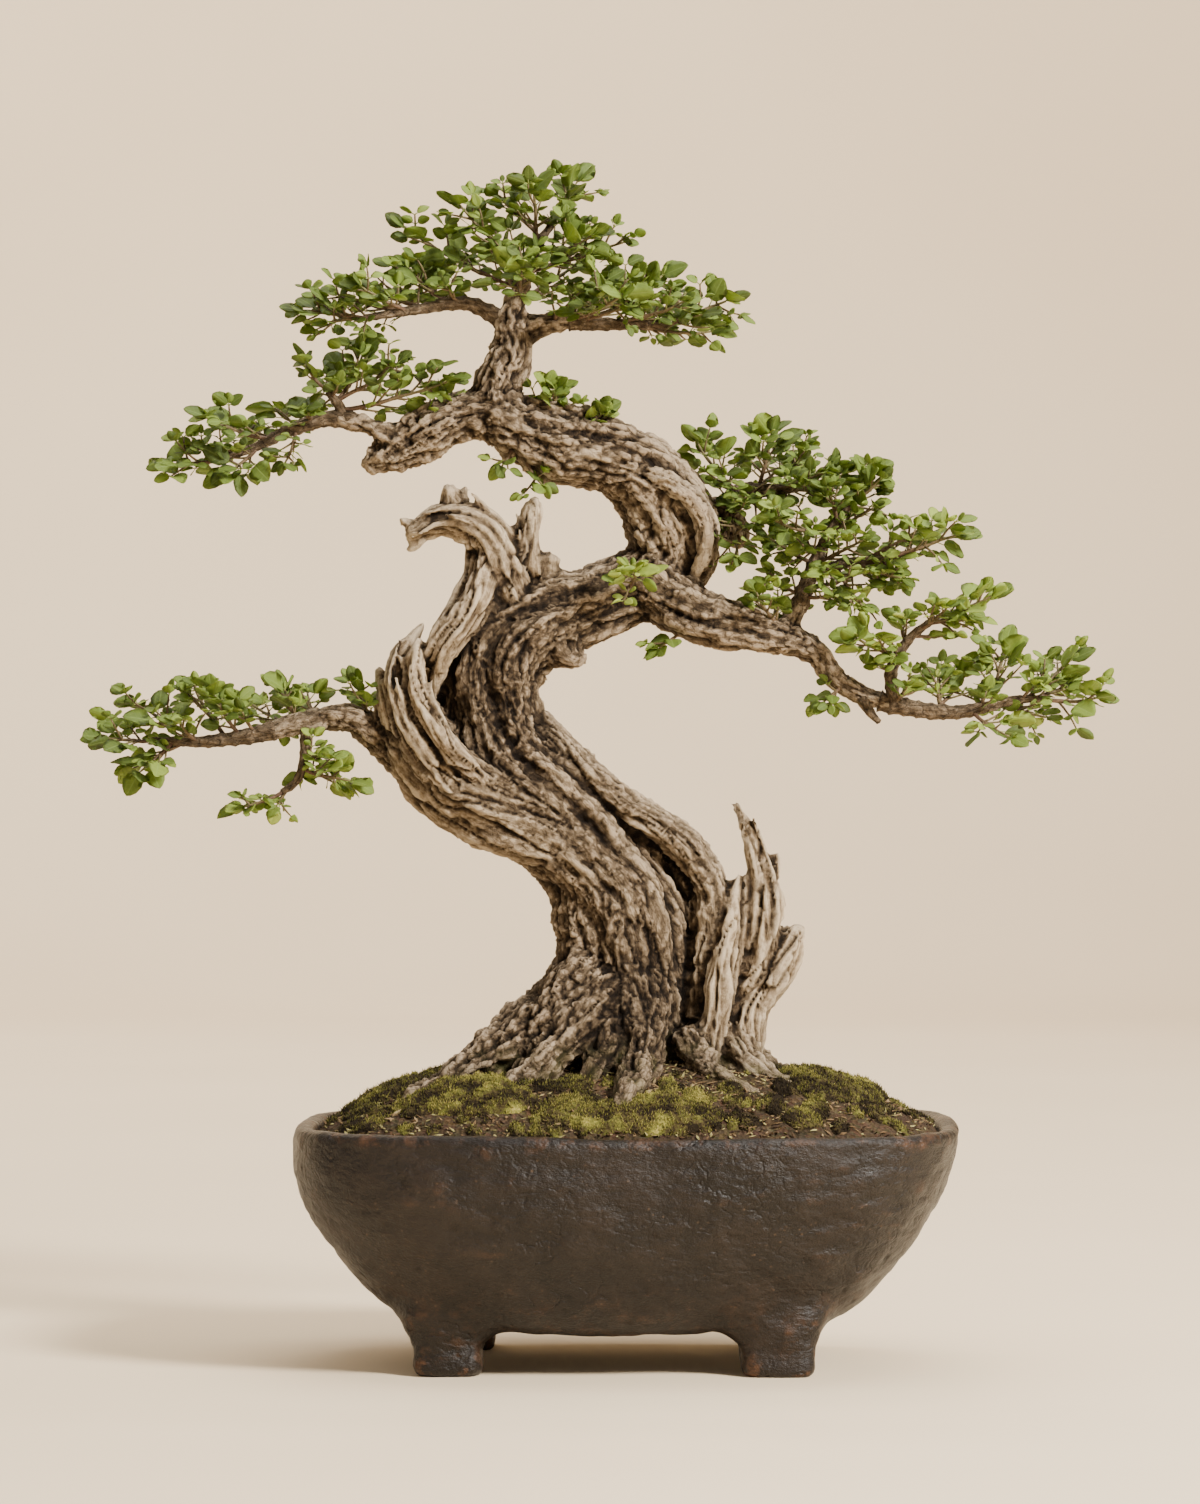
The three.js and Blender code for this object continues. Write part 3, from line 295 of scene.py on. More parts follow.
def repeated(faces, each, count):
    """The faces of one of many like parts, for all of them; each part has so many points."""
    return (faces[None] + each * np.arange(count)[:, None, None]).reshape(-1, faces.shape[1])


def remeshed(mesh, voxel):
    """The outer surface of a mesh's overlapping parts as one even mesh: its points and faces."""
    thing = add_object("remesh", mesh)
    modifier = thing.modifiers.new("voxels", "REMESH")
    modifier.mode = "VOXEL"
    modifier.voxel_size = voxel * MM
    bpy.context.view_layer.update()
    made = evaluated(thing).to_mesh()
    points = np.empty(3 * len(made.vertices))
    made.vertices.foreach_get("co", points)
    corners = np.empty(len(made.loops), int)
    made.loops.foreach_get("vertex_index", corners)
    bpy.data.objects.remove(thing)
    bpy.data.meshes.remove(mesh)
    return points.reshape(-1, 3) / MM, corners.reshape(-1, 4)


def edges_of(faces):
    pairs = np.concatenate([faces[:, [k, (k + 1) % 4]] for k in range(4)])
    return np.unique(np.sort(pairs, axis=1), axis=0)


def normals_of(points, faces):
    across = points[faces[:, 2]] - points[faces[:, 0]]
    along = points[faces[:, 3]] - points[faces[:, 1]]
    flat = np.cross(across, along)
    total = np.zeros_like(points)
    for k in range(4):
        for axis in range(3):
            total[:, axis] += np.bincount(faces[:, k], flat[:, axis], len(points))
    return unit(total)


def relaxed(points, edges, rounds):
    """Points moved to the mean of their neighbours, several times."""
    a, b = edges.T
    degree = np.maximum(np.bincount(np.concatenate([a, b]), minlength=len(points)), 1)
    for _ in range(rounds):
        moved = np.empty_like(points)
        for axis in range(3):
            value = points[:, axis]
            moved[:, axis] = np.bincount(a, value[b], len(points)) + np.bincount(b, value[a], len(points))
        points = moved / degree[:, None]
    return points


def hollowness(points, faces, edges, rounds):
    """How deep each point lies in a dip of the surface, in millimetres; below 0 on a ridge."""
    return dot(relaxed(points, edges, rounds) - points, normals_of(points, faces))


# Materials

class Nodes:
    """A material's node tree, written as nested calls."""

    def __init__(self, name):
        self.material = bpy.data.materials.new(name)
        self.material.use_nodes = True
        self.tree = self.material.node_tree
        self.shader = self.tree.nodes["Principled BSDF"]
        self.output = self.tree.nodes["Material Output"]

    def node(self, kind, inputs, output=0, **settings):
        made = self.tree.nodes.new(kind)
        for key, value in settings.items():
            setattr(made, key, value)
        for key, value in inputs.items():
            self.plug(value, made.inputs[key])
        return made.outputs[output]

    def plug(self, value, socket):
        if isinstance(value, bpy.types.NodeSocket):
            self.tree.links.new(value, socket)
        elif value is not None:
            socket.default_value = value

    def math(self, operation, a, b=0.0, clamp=False):
        return self.node("ShaderNodeMath", {0: a, 1: b}, operation=operation, use_clamp=clamp)

    def plus(self, a, b, clamp=False):
        return self.math("ADD", a, b, clamp)

    def minus(self, a, b, clamp=False):
        return self.math("SUBTRACT", a, b, clamp)

    def times(self, a, b):
        return self.math("MULTIPLY", a, b)

    def centred(self, value, much):
        """A value that lies about 0.5, brought to 0 and made so much larger."""
        return self.times(self.minus(value, 0.5), much)

    def total(self, *parts):
        """The sum of values, each times its weight."""
        terms = [self.times(*part) for part in parts]
        total = terms[0]
        for term in terms[1:]:
            total = self.plus(total, term)
        return total

    def axes(self, vector):
        parts = self.tree.nodes.new("ShaderNodeSeparateXYZ")
        self.plug(vector, parts.inputs[0])
        return parts.outputs

    def attribute(self, name, output="Fac"):
        return self.node("ShaderNodeAttribute", {}, output, attribute_name=name)

    def place(self):
        return self.node("ShaderNodeTexCoord", {}, "Object")

    def scaled(self, vector, scale):
        return self.node("ShaderNodeMapping", {"Vector": vector, "Scale": scale})

    def noise(self, vector, scale, detail=4.0, roughness=0.55):
        inputs = {"Vector": vector, "Scale": scale, "Detail": detail, "Roughness": roughness}
        return self.node("ShaderNodeTexNoise", inputs, "Fac")

    def cells(self, vector, scale, output="Distance", feature="F1"):
        return self.node("ShaderNodeTexVoronoi", {"Vector": vector, "Scale": scale}, output, feature=feature)

    def spread(self, value, low, high, to_low=0.0, to_high=1.0):
        inputs = {0: value, 1: low, 2: high, 3: to_low, 4: to_high}
        return self.node("ShaderNodeMapRange", inputs, clamp=True)

    def ramp(self, value, stops):
        made = self.tree.nodes.new("ShaderNodeValToRGB")
        while len(made.color_ramp.elements) < len(stops):
            made.color_ramp.elements.new(0.5)
        for element, (place, colour) in zip(made.color_ramp.elements, stops):
            element.position = place
            element.color = (*colour, 1)
        self.plug(value, made.inputs[0])
        return made.outputs[0]

    def mix(self, share, a, b, blend="MIX"):
        made = self.tree.nodes.new("ShaderNodeMix")
        made.data_type = "RGBA"
        made.blend_type = blend
        self.plug(share, made.inputs[0])
        for value, socket in ((a, made.inputs[6]), (b, made.inputs[7])):
            self.plug((*value, 1) if isinstance(value, tuple) else value, socket)
        return made.outputs[2]

    def bump(self, height, strength, distance, under=None):
        inputs = {"Height": height, "Strength": strength, "Distance": distance * MM, "Normal": under}
        return self.node("ShaderNodeBump", inputs)

    def finish(self, colour, roughness, normal=None, specular=0.3):
        self.plug(colour, self.shader.inputs["Base Color"])
        self.plug(roughness, self.shader.inputs["Roughness"])
        self.shader.inputs["Specular IOR Level"].default_value = specular
        if normal is not None:
            self.plug(normal, self.shader.inputs["Normal"])
        return self.material


def wood_material():
    """Flaking bark on the live wood and silvery grain on the dead wood; the grain follows the limbs."""
    n = Nodes("premna_wood")
    grain = n.attribute("fibre", "Vector")
    hollow = n.attribute("hollow")
    dead = n.attribute("dead")
    fine = n.noise(n.scaled(grain, (0.9, 0.9, 0.18)), 1.0, 5.0, 0.65)
    threads = n.noise(n.scaled(grain, (2.6, 2.6, 0.10)), 1.0, 3.0, 0.6)
    patches = n.noise(n.scaled(grain, (0.11, 0.11, 0.03)), 1.0, 3.0, 0.5)
    plates = n.cells(n.scaled(grain, (0.42, 0.42, 0.17)), 1.0, "Distance", "DISTANCE_TO_EDGE")
    crumbs = n.noise(n.place(), 620.0, 5.0, 0.7)
    cracks = n.spread(plates, 0.0, 0.09)
    # Painted shade: the wood's tone goes darker in its hollows, and painted light makes it paler on its
    # ridges; on the thin boughs the same value is only random bark tone.
    tone = n.total((fine, 0.36), (patches, 0.26), (crumbs, 0.56), (hollow, -0.42))
    live_tone = n.minus(tone, n.times(n.minus(1.0, cracks), 0.10), True)
    dead_tone = n.plus(tone, n.centred(threads, 0.5), True)
    bark = n.ramp(live_tone, [
        (0.14, (0.007, 0.004, 0.002)),
        (0.38, (0.027, 0.017, 0.009)),
        (0.56, (0.074, 0.050, 0.028)),
        (0.73, (0.160, 0.113, 0.069)),
        (0.92, (0.360, 0.272, 0.180)),
    ])
    silver = n.ramp(dead_tone, [
        (0.14, (0.014, 0.009, 0.005)),
        (0.36, (0.062, 0.040, 0.022)),
        (0.54, (0.180, 0.128, 0.076)),
        (0.72, (0.338, 0.258, 0.167)),
        (0.92, (0.556, 0.448, 0.310)),
    ])
    colour = n.mix(dead, bark, silver)
    algae = n.spread(n.noise(n.place(), 120.0), 0.45, 0.62)
    green = n.mix(algae, (0.045, 0.033, 0.018), (0.085, 0.085, 0.025))
    colour = n.mix(n.times(n.attribute("damp"), 0.42), colour, green)
    coarse = n.bump(n.times(cracks, n.minus(1.0, dead)), 0.7, 0.9)
    lines = n.bump(fine, 0.8, 1.0, coarse)
    hairs = n.bump(threads, 0.5, 0.5, lines)
    normal = n.bump(crumbs, 0.75, 1.1, hairs)
    return n.finish(colour, n.spread(tone, 0.2, 0.8, 0.95, 0.76), normal, 0.2)


# Wood
# Each limb is a list of [x, depth y, z, radius] as seen from the front.
CORE = [
    [12, 0, 124, 36], [12.5, 0, 139, 37], [12.5, 0, 165, 33], [12, 0, 190, 33], [12, -1, 212, 33],
    [7.5, -2, 230, 33], [-5, -2, 251, 30], [-28, 0, 277, 31], [-48, 3, 297, 32], [-55, 4, 322, 29],
    [-55, 3, 345, 28], [-46, 1, 361, 27], [-28, 2, 372, 23], [-5, 6, 378.5, 18.5], [17.5, 12, 386.5, 17.5],
    [36, 15, 398, 20], [36, 14, 417, 24], [25, 9, 438.5, 22], [4.5, 4, 452, 19], [-20, 0, 457.5, 21],
    [-40, -3, 466.5, 17], [-55, -4, 473, 14], [-72.5, -5, 471, 12.5], [-86, -6, 464.5, 13.5],
    [-100, -7, 456, 11], [-110, -8, 450, 8], [-117, -8, 447, 4.5],
]
CORE_DEPTH = 0.86

LIMBS = {
    "flank": [
        [-24, -8, 262, 20], [-56, -8, 279, 24], [-82, -6, 296, 21], [-95, -6, 318, 17], [-96, -5, 336, 12],
        [-92, -4, 352, 6],
    ],
    "splay_outer": [
        [-60, -2, 262, 5], [-74, -12, 282, 9], [-96, -14, 306, 8], [-107, -14, 330, 5],
        [-110.5, -12, 346, 2],
    ],
    "splay_tall": [
        [-48, -6, 260, 5], [-64, -19, 279, 9], [-86, -23, 303, 8], [-100, -20, 330, 7.5],
        [-100, -16, 350, 6], [-93, -12, 362, 3.5], [-88.5, -10, 368.5, 1.5],
    ],
    "splay_inner": [
        [-44, -12, 270, 5], [-60, -25, 291, 7.5], [-77, -29, 309, 7], [-90, -27, 333, 6.5],
        [-92, -24, 352, 4.5], [-90, -21, 361, 1.6],
    ],
    "splay_back": [[-70, 12, 284, 10], [-94, 13, 308, 8], [-104, 12, 332, 6], [-103, 10, 350, 2.5]],
    "ribbon": [
        [-84, -4, 330, 4], [-80, -19, 354, 9], [-69, -18, 370, 11], [-60, -14, 386, 10], [-56, -9, 400, 10],
        [-57, -6, 410, 7],
    ],
    "ridge": [
        [-44, 2, 338, 3], [-21, -5, 309, 8], [8, -12, 281, 9], [38, -11, 261, 9.5], [54, -9, 240, 10],
        [54, -8, 214, 9], [48, -7, 170, 9], [50, -6, 140, 8],
    ],
    "inner_strand": [
        [53, -15, 150, 9.5], [59, -17, 180, 8], [62.5, -16, 205, 8.5], [67, -14, 225, 5.5],
        [69.5, -12, 243, 1.2],
    ],
    "outer_strand": [
        [64, -8, 142, 13], [71, -8, 160, 12], [75, -7, 177, 11], [85, -5, 193, 12], [94, -3, 208, 9.5],
        [99, -2, 217, 3.5],
    ],
    "spire": [
        [67, -10, 172, 7], [75, -10, 190, 8], [81.5, -9, 209, 9.5], [84, -8, 227, 9], [81, -7, 245, 7.5],
        [76, -7, 262, 4.8], [71, -7, 274, 2.6], [68, -7, 279.5, 1.3],
    ],
    "spire_spur": [[85, -7, 233, 4], [88.5, -7, 246, 2.4], [88, -7, 254, 1.7]],
    "spire_tooth": [[78, -7, 254, 3], [80, -8, 265.5, 1.4]],
    "strand_back": [
        [60, 10, 148, 11], [66, 12, 165, 9], [74, 12, 188, 8], [78, 10, 208, 6], [76, 8, 226, 2.4],
    ],
    "jin": [
        [-36, 9, 350, 12], [-42, 1, 370, 18], [-48, -4, 389, 15.5], [-54, -6, 407, 13],
        [-65, -8, 418, 11.5], [-78, -8, 420, 9.5], [-95, -10, 413, 6],
    ],
    "jin_upper_horn": [[-91, -10, 415, 5], [-96, -10, 417.5, 3.6], [-100, -10, 420.5, 1.6]],
    "jin_lower_horn": [[-90, -9, 412, 5], [-94, -9, 406.5, 3], [-97, -9, 405, 1.8]],
    "jin_knob": [[-71, -8, 420, 8], [-74.5, -8, 430, 6], [-74.5, -9, 436, 4.6]],
    "jin_tooth": [[-69, -7, 427, 3.4], [-67.5, -7, 437, 1.3]],
    "spike": [
        [-34, 2, 366, 6], [-36, -5, 393, 7], [-35, -6, 414, 6.3], [-33.5, -5, 425, 5.8],
        [-32.5, -5, 431, 2.4],
    ],
    "spike_spur": [[-36, -6, 406, 4], [-41, -6, 415, 2.8], [-45, -6, 417, 1.4]],
    "stub": [[-27, -2, 384, 8], [-26, -4, 395, 6], [-25, -5, 401.5, 6.6]],
    "under_knob": [[-24, -2, 362, 11], [-15, -4, 352, 8], [-8.5, -5, 349.5, 3.6]],
    "shoulder": [[40, 22, 410, 14], [56, 26, 420, 12], [66, 28, 417, 9], [70, 29, 408, 6]],
    "loop_strand": [
        [16, -4, 447, 5], [38, -7, 437, 7.5], [51, -5, 422, 6.5], [53, -2, 405, 6], [42, 8, 386, 4],
    ],
    "root_left": [
        [-2, -8, 188, 24], [-20, -15, 173, 21], [-40, -23, 160, 16.5], [-60, -31, 147, 12.5],
        [-78, -38, 137, 9.5], [-91, -43, 130, 7.5], [-101, -47, 122, 5],
    ],
    "ridge_backing": [[14, 6, 266, 13], [32, 6, 244, 14], [45, 5, 218, 13], [49, 5, 180, 12]],
    "root_left_front": [
        [4, -20, 182, 16], [-14, -32, 163, 13.5], [-31, -42, 146, 10], [-46, -50, 133, 7],
        [-60, -56, 121, 4.5],
    ],
    "root_left_knee": [[-14, -20, 178, 17], [-26, -26, 168, 14], [-40, -30, 156, 8]],
    "root_middle_left": [[8, -24, 172, 12], [2, -38, 152, 9], [-7, -50, 137, 6.5], [-18, -60, 124, 4.5]],
    "root_front": [
        [18, -18, 186, 17], [22, -29, 166, 13], [20, -42, 149, 11], [17, -56, 140, 8.5],
        [13, -70, 133, 6.5], [9, -84, 125, 4],
    ],
    "root_right": [
        [66, -10, 158, 13], [75, -21, 146, 9.5], [88, -31, 138, 7.5], [103, -40, 133.5, 6],
        [115, -46, 128.5, 4.6], [123, -49, 121, 3.2],
    ],
    "root_right_inner": [
        [44, -16, 162, 10], [52, -31, 147, 7], [62, -44, 140, 6.2], [71, -54, 135.5, 5],
        [80, -62, 129, 3.6],
    ],
    "root_back_left": [
        [-8, 12, 170, 17], [-34, 32, 152, 12], [-56, 48, 138, 8], [-74, 59, 127, 5.4], [-82, 64, 118, 3.6],
    ],
    "root_back": [[22, 20, 168, 16], [25, 43, 150, 11], [19, 62, 135, 7], [13, 74, 123, 4.5]],
    "root_back_right": [[56, 8, 160, 13], [80, 27, 146, 9], [103, 42, 133, 6], [118, 50, 122, 4]],
}
# How far limbs are bare dead wood; limbs that aren't named here are in bark.
DEAD_SHARES = {
    1.0: ["splay_outer", "splay_tall", "splay_inner", "splay_back", "spire", "spire_spur", "spire_tooth",
          "jin_upper_horn", "jin_lower_horn", "jin_knob", "jin_tooth", "spike_spur"],
    0.95: ["inner_strand", "outer_strand", "strand_back", "jin"],
    0.9: ["spike"],
    0.75: ["ribbon"],
    0.5: ["root_right"],
    0.45: ["flank"],
    0.35: ["ridge", "loop_strand"],
    0.3: ["stub"],
}
DEAD = {name: share for share, names in DEAD_SHARES.items() for name in names}
# Limbs that are grown into their neighbours without a seam, beside the roots and the boughs
GROWN_IN = ["shoulder", "under_knob", "stub", "flank", "ridge_backing"]
# Weathered limbs by how many splinters each has.
SPLINTER_COUNTS = {
    4: ["splay_tall", "outer_strand", "spire", "jin"],
    3: ["splay_outer", "splay_inner", "splay_back", "ribbon", "spike", "ridge", "loop_strand"],
    2: ["inner_strand", "strand_back"],
}
SPLINTERED = {name: count for count, names in SPLINTER_COUNTS.items() for name in names}

# Each bough has its points, and its sprays as [place along it, tip x, tip depth y, tip z].
BOUGHS = {
    "leader": {
        "points": [
            [-50, -2, 470, 14], [-51.5, -2, 486, 12], [-43, -1, 505, 11], [-44, 0, 518, 9.5],
            [-40, 0, 534, 4.6], [-33, 0, 554, 3], [-24, 1, 568, 1.6],
        ],
        "sprays": [
            [1, -6, 8, 598], [0.86, -34, -14, 595], [0.76, -78, -10, 585], [0.68, -107, 12, 571],
            [0.76, 5, -14, 567], [0.64, -38, -50, 550], [0.66, -50, 50, 560],
        ],
    },
    "crown_left": {
        "points": [[-47, -1, 519, 5], [-66, -6, 528, 3.6], [-92, -14, 525, 2.6], [-118, -19, 521, 1.6]],
        "sprays": [[1, -159, -24, 526], [0.72, -128, -38, 541], [0.45, -104, 2, 552], [0.4, -92, 46, 543]],
    },
    "crown_right": {
        "points": [[-42, 0, 512, 7.5], [-22, 2, 519, 5.4], [2, 5, 518, 3.4], [34, 9, 517, 1.8]],
        "sprays": [
            [1, 73, 12, 534], [0.84, 66, 18, 513], [0.5, 40, 22, 547], [0.42, 18, -38, 536],
            [0.42, 10, 48, 542],
        ],
    },
    "upper_left": {
        "points": [
            [-97, -8, 456, 7.5], [-113, -10, 466, 5.5], [-134, -9, 470.5, 4.2], [-152, -9, 466, 3.3],
            [-172, -12, 456.5, 2.3], [-190, -15, 450, 1.5],
        ],
        "sprays": [
            [1, -226, -16, 447], [0.78, -193, -26, 437], [0.72, -206, -26, 474], [0.56, -166, 36, 476],
        ],
    },
    "upper_left_rise": {
        "points": [[-128, -9, 470, 3.4], [-131, -10, 478, 2.6], [-136, -11, 484, 1.7]],
        "sprays": [[1, -154, -16, 506], [0.6, -113, 4, 514], [0.3, -66, -20, 492]],
    },
    "lower_left": {
        "points": [
            [-98, -6, 300, 10], [-112, -8, 312, 8.4], [-125, -11, 321, 7.4], [-150, -13, 318, 5.6],
            [-180, -14, 311, 3.8], [-205, -13, 309, 2.4], [-224, -12, 310, 1.5],
        ],
        "sprays": [
            [1, -260, -10, 312], [0.9, -238, -24, 287], [0.79, -240, 14, 332], [0.66, -199, -22, 341],
            [0.5, -162, -8, 345], [0.52, -178, 36, 330],
        ],
    },
    "lower_left_hang": {
        "points": [[-147, -14, 316, 3], [-148, -17, 300, 2.4], [-152, -19, 289, 2], [-159, -22, 284, 1.5]],
        "sprays": [[1, -189, -28, 273], [0.45, -114, -24, 287]],
    },
    "great": {
        "points": [
            [24, 10, 388, 15], [50, 0, 372, 14], [84, -3, 363, 10.5], [107, -3, 354, 7.2],
            [122, -3, 337, 5.6], [147, -3, 327.5, 4.6], [178, -5, 324, 3.5], [208, -7, 330, 2.2],
            [220, -8, 330.5, 1.6],
        ],
        "sprays": [
            [1, 259, -10, 331], [0.92, 242, 12, 356], [0.82, 205, 8, 366], [0.78, 213, -24, 306],
            [0.7, 188, 38, 350],
        ],
    },
    "great_stub": {
        "points": [[131, -4, 331, 3.4], [135, -6, 324, 2.4], [139.5, -8, 319, 1.4]],
        "sprays": [],
    },
    "great_rise": {
        "points": [
            [92, -3, 362, 6], [100, 2, 378, 4.6], [107, 5, 398, 3.4], [117, 6, 417, 2.5],
            [124, 5, 426, 1.6],
        ],
        "sprays": [[1, 143, 4, 451], [0.72, 80, -28, 421], [0.35, 146, 52, 404]],
    },
    "great_mid": {
        "points": [[104, 4, 392, 3.4], [122, -3, 398, 2.5], [146, -10, 401, 1.6]],
        "sprays": [[1, 188, -14, 416]],
    },
    "great_arm": {
        "points": [[147, -4, 328, 3.6], [146, -10, 346, 3], [155, -13, 361, 2.3], [168, -15, 371, 1.6]],
        "sprays": [[1, 206, -20, 386], [0.45, 121, -36, 364]],
    },
    "back_bough": {
        "points": [[56, 26, 420, 7], [68, 26, 433, 4.6], [85, 20, 435, 3.4], [97, 16, 435.5, 2]],
        "sprays": [[1, 132, 6, 448], [0.55, 88, 12, 473], [0.36, 42, 18, 467], [0.5, 96, 62, 452]],
    },
}
# Short shoots straight from the trunk: where they leave it and where they end.
TRUNK_SHOOTS = {
    "front": ([14, -4, 386], [20, -40, 397]),
    "top_left": ([-28, -2, 468], [-25, -10, 496]),
    "top_right": ([-7, 2, 462], [6, -10, 481]),
    "under": ([44, 0, 366], [22, -14, 350]),
}
WOOD_VOXEL = 1.3
WOOD_TRIANGLES = 192000
THIN_BOUGH = 4.4  # a bough thinner than this is a tube of its own, finer than the trunk's mesh
TWIST = 0.004  # how much the fibre turns round a limb with each millimetre
LIMB_SPACING = 211  # sets the fibre places of two limbs far apart, so that their patterns differ
BOUGH_SEED = 60
SPLINTER_SEED = 900
# A splinter's height over its limb's axis and its thickness, from its foot to its point, as shares
# of the limb's radius
SPLINTER_RISE = (-0.1, 0.4, 0.62, 0.74, 0.84, 1.28)
SPLINTER_THICKNESS = (0.3, 0.48, 0.42, 0.34, 0.25, 0.0)
NODE_DISTANCE = 13  # between the swollen nodes of a thin bough
POINTS_AT_ONCE = 12000
LIMB_MARGIN = 9.0  # how far off its skin a limb still counts
CORE_DEAD = 0.12
BOUGH_DEAD = 0.05
BOW = (425, 445)  # the heights over which the knobby bark of the upper bow begins
LOW_TRUNK = (215, 165)  # and those over which that of the low trunk does
SEAM_WIDTH = 5.5  # how near its neighbour the skin of a grown-in limb is smoothed
SEAM_ROUNDS = 26
SEAM_DEPTH = 1.6  # of the groove between two other limbs


class Limb:
    """A limb's axis as evenly spaced samples, each with its radius and its directions."""

    def __init__(self, rows, depth, dead, seed, step=1.5, soft=0.0, placed=False):
        rows = np.array(rows, float)
        points = rows[:, :3] if placed else seen(rows[:, :3])
        dense = np.linspace(0, 1, 30 * len(rows))
        line = curve_at(points, dense)
        run = np.concatenate([[0], np.cumsum(np.linalg.norm(np.diff(line, axis=0), axis=1))])
        count = max(6, int(run[-1] / step))
        places = np.interp(np.linspace(0, run[-1], count), run, dense)
        self.centre = curve_at(points, places)
        self.radius = np.interp(places * (len(rows) - 1), np.arange(len(rows)), rows[:, 3])
        self.run = np.linspace(0, run[-1], count)
        self.way = unit(np.gradient(self.centre, axis=0))
        self.across = np.empty_like(self.way)
        hold = np.array([0.0, 1, 0])
        for i, way in enumerate(self.way):
            hold = unit(hold - way * hold.dot(way))
            self.across[i] = hold
        self.side = np.cross(self.way, self.across)
        self.depth, self.dead, self.seed, self.soft = depth, dead, seed, soft

    def part(self, keep):
        """The same limb with only some of its samples."""
        made = object.__new__(Limb)
        made.__dict__.update(self.__dict__)
        for key in ("centre", "radius", "run", "way", "across", "side"):
            setattr(made, key, getattr(self, key)[keep])
        return made

    def ropes(self, angle, lobes, length, depth):
        """Strands that run along the limb, as a share of its radius."""
        run = self.run[:, None]
        turned = angle[None, :] + TWIST * run
        waved = turned + 0.25 * noise(0 * turned + self.seed, 0, run / 45, 5)
        value = noise(lobes * np.cos(waved), lobes * np.sin(waved), run / length + 9.7 * self.seed, 11)
        return depth * (valleys(value) - 0.62)

    def tube(self, shape, relief, spacing=1.8):
        """Adds the limb's skin to a shape, with its relief, closed at both ends; returns its angles."""
        sides = int(np.clip(2 * math.pi * self.radius.max() / spacing, 8, 130))
        angle = turns(sides)
        out = np.cos(angle)[None, :, None] * self.across[:, None]
        out = out + np.sin(angle)[None, :, None] * self.side[:, None]
        reach = self.radius[:, None] * (1 + relief(angle))
        offset = out * reach[..., None]
        offset[..., 1] *= self.depth
        points = (self.centre[:, None] + offset).reshape(-1, 3)
        ends = self.centre[[0, -1]] + self.way[[0, -1]] * self.radius[[0, -1], None] * [[-0.3], [0.5]]
        shape.add_closed(np.vstack([points, ends]), sides)
        return angle


def big_relief(limb):
    """The strands and hollows that a limb's form has: deep on the trunk, slight on thin wood."""
    thick = float(np.clip(limb.radius.max() / 30, 0.25, 1))
    lobes = 0.7 + 1.0 * thick

    def relief(angle):
        coarse = limb.ropes(angle, lobes, 60 + 60 * thick, 0.12 + 0.10 * thick)
        fine = limb.ropes(angle + 1.7, 2.3 * lobes, 45, 0.07)
        run = limb.run[:, None]
        swell = noise(np.cos(angle) * 0.8, np.sin(angle) * 0.8, run / 22 + 5.1 * limb.seed, 3)
        high = smooth_step(*BOW, limb.centre[:, 2])[:, None]
        return (1 - 0.5 * high) * (coarse + fine) + (0.07 + 0.05 * high) * swell

    return relief


def nearest_limbs(points, limbs):
    """For each point the limb whose skin it is on, its sample, how near the next limb is, and which."""
    best, second = np.full((2, len(points)), 1e9)
    index, other, sample = np.zeros((3, len(points)), int)
    for i, limb in enumerate(limbs):
        low = (limb.centre - limb.radius[:, None]).min(0) - LIMB_MARGIN
        high = (limb.centre + limb.radius[:, None]).max(0) + LIMB_MARGIN
        near = np.flatnonzero(((points > low) & (points < high)).all(1))
        squash = np.array([1, 1 / limb.depth, 1])
        centre = limb.centre * squash
        for part in np.array_split(near, max(1, len(near) // POINTS_AT_ONCE)):
            spot = points[part] * squash
            square = (spot**2).sum(1)[:, None] + (centre**2).sum(1)[None] - 2 * spot @ centre.T
            gap = np.sqrt(np.maximum(square, 0)) - limb.radius[None]
            at = gap.argmin(1)
            value = gap[np.arange(len(part)), at]
            closer = value < best[part]
            other[part] = np.where(closer, index[part], np.where(value < second[part], i, other[part]))
            second[part] = np.where(closer, best[part], np.minimum(second[part], value))
            index[part] = np.where(closer, i, index[part])
            sample[part] = np.where(closer, at, sample[part])
            best[part] = np.minimum(best[part], value)
    return index, sample, second - best, other


def fibre_values(points, limbs):
    """Each point's place round and along its limb, its limb's dead share and the seam to the next."""
    index, sample, seam, other = nearest_limbs(points, limbs)
    starts = np.cumsum([0] + [len(limb.run) for limb in limbs[:-1]])[index] + sample

    def gather(key, which=index):
        return np.array([getattr(limb, key) for limb in limbs], float)[which]

    def stacked(key):
        return np.concatenate([getattr(limb, key) for limb in limbs])[starts]

    soft = np.maximum(gather("soft"), gather("soft", other))
    offset = points - stacked("centre")
    way, across, side, radius = stacked("way"), stacked("across"), stacked("side"), stacked("radius")
    run = stacked("run") + dot(offset, way)
    angle = np.arctan2(dot(offset, side), dot(offset, across)) + TWIST * run
    fibre = around(angle, radius, run + LIMB_SPACING * gather("seed"))
    return fibre, gather("dead"), seam, radius, soft


# Where the bark is darker, painted shade that is partly its own darker bark, and below 0 where it is paler,
# painted light: x, z, half width, half height and how much.
PAINTED_SHADE_AND_LIGHT = [
    [-52, 328, 22, 42, 0.38],
    [18, 178, 26, 36, 0.50],
    [-30, 128, 26, 10, 0.15],
    [-2, 150, 9, 16, 0.55],
    [34, 150, 7, 14, 0.40],
    [-8, 218, 10, 34, -0.35],
    [14, 375, 40, 14, 0.22],
    [38, 425, 18, 34, -0.55],
    [66, 215, 14, 44, -0.12],
]

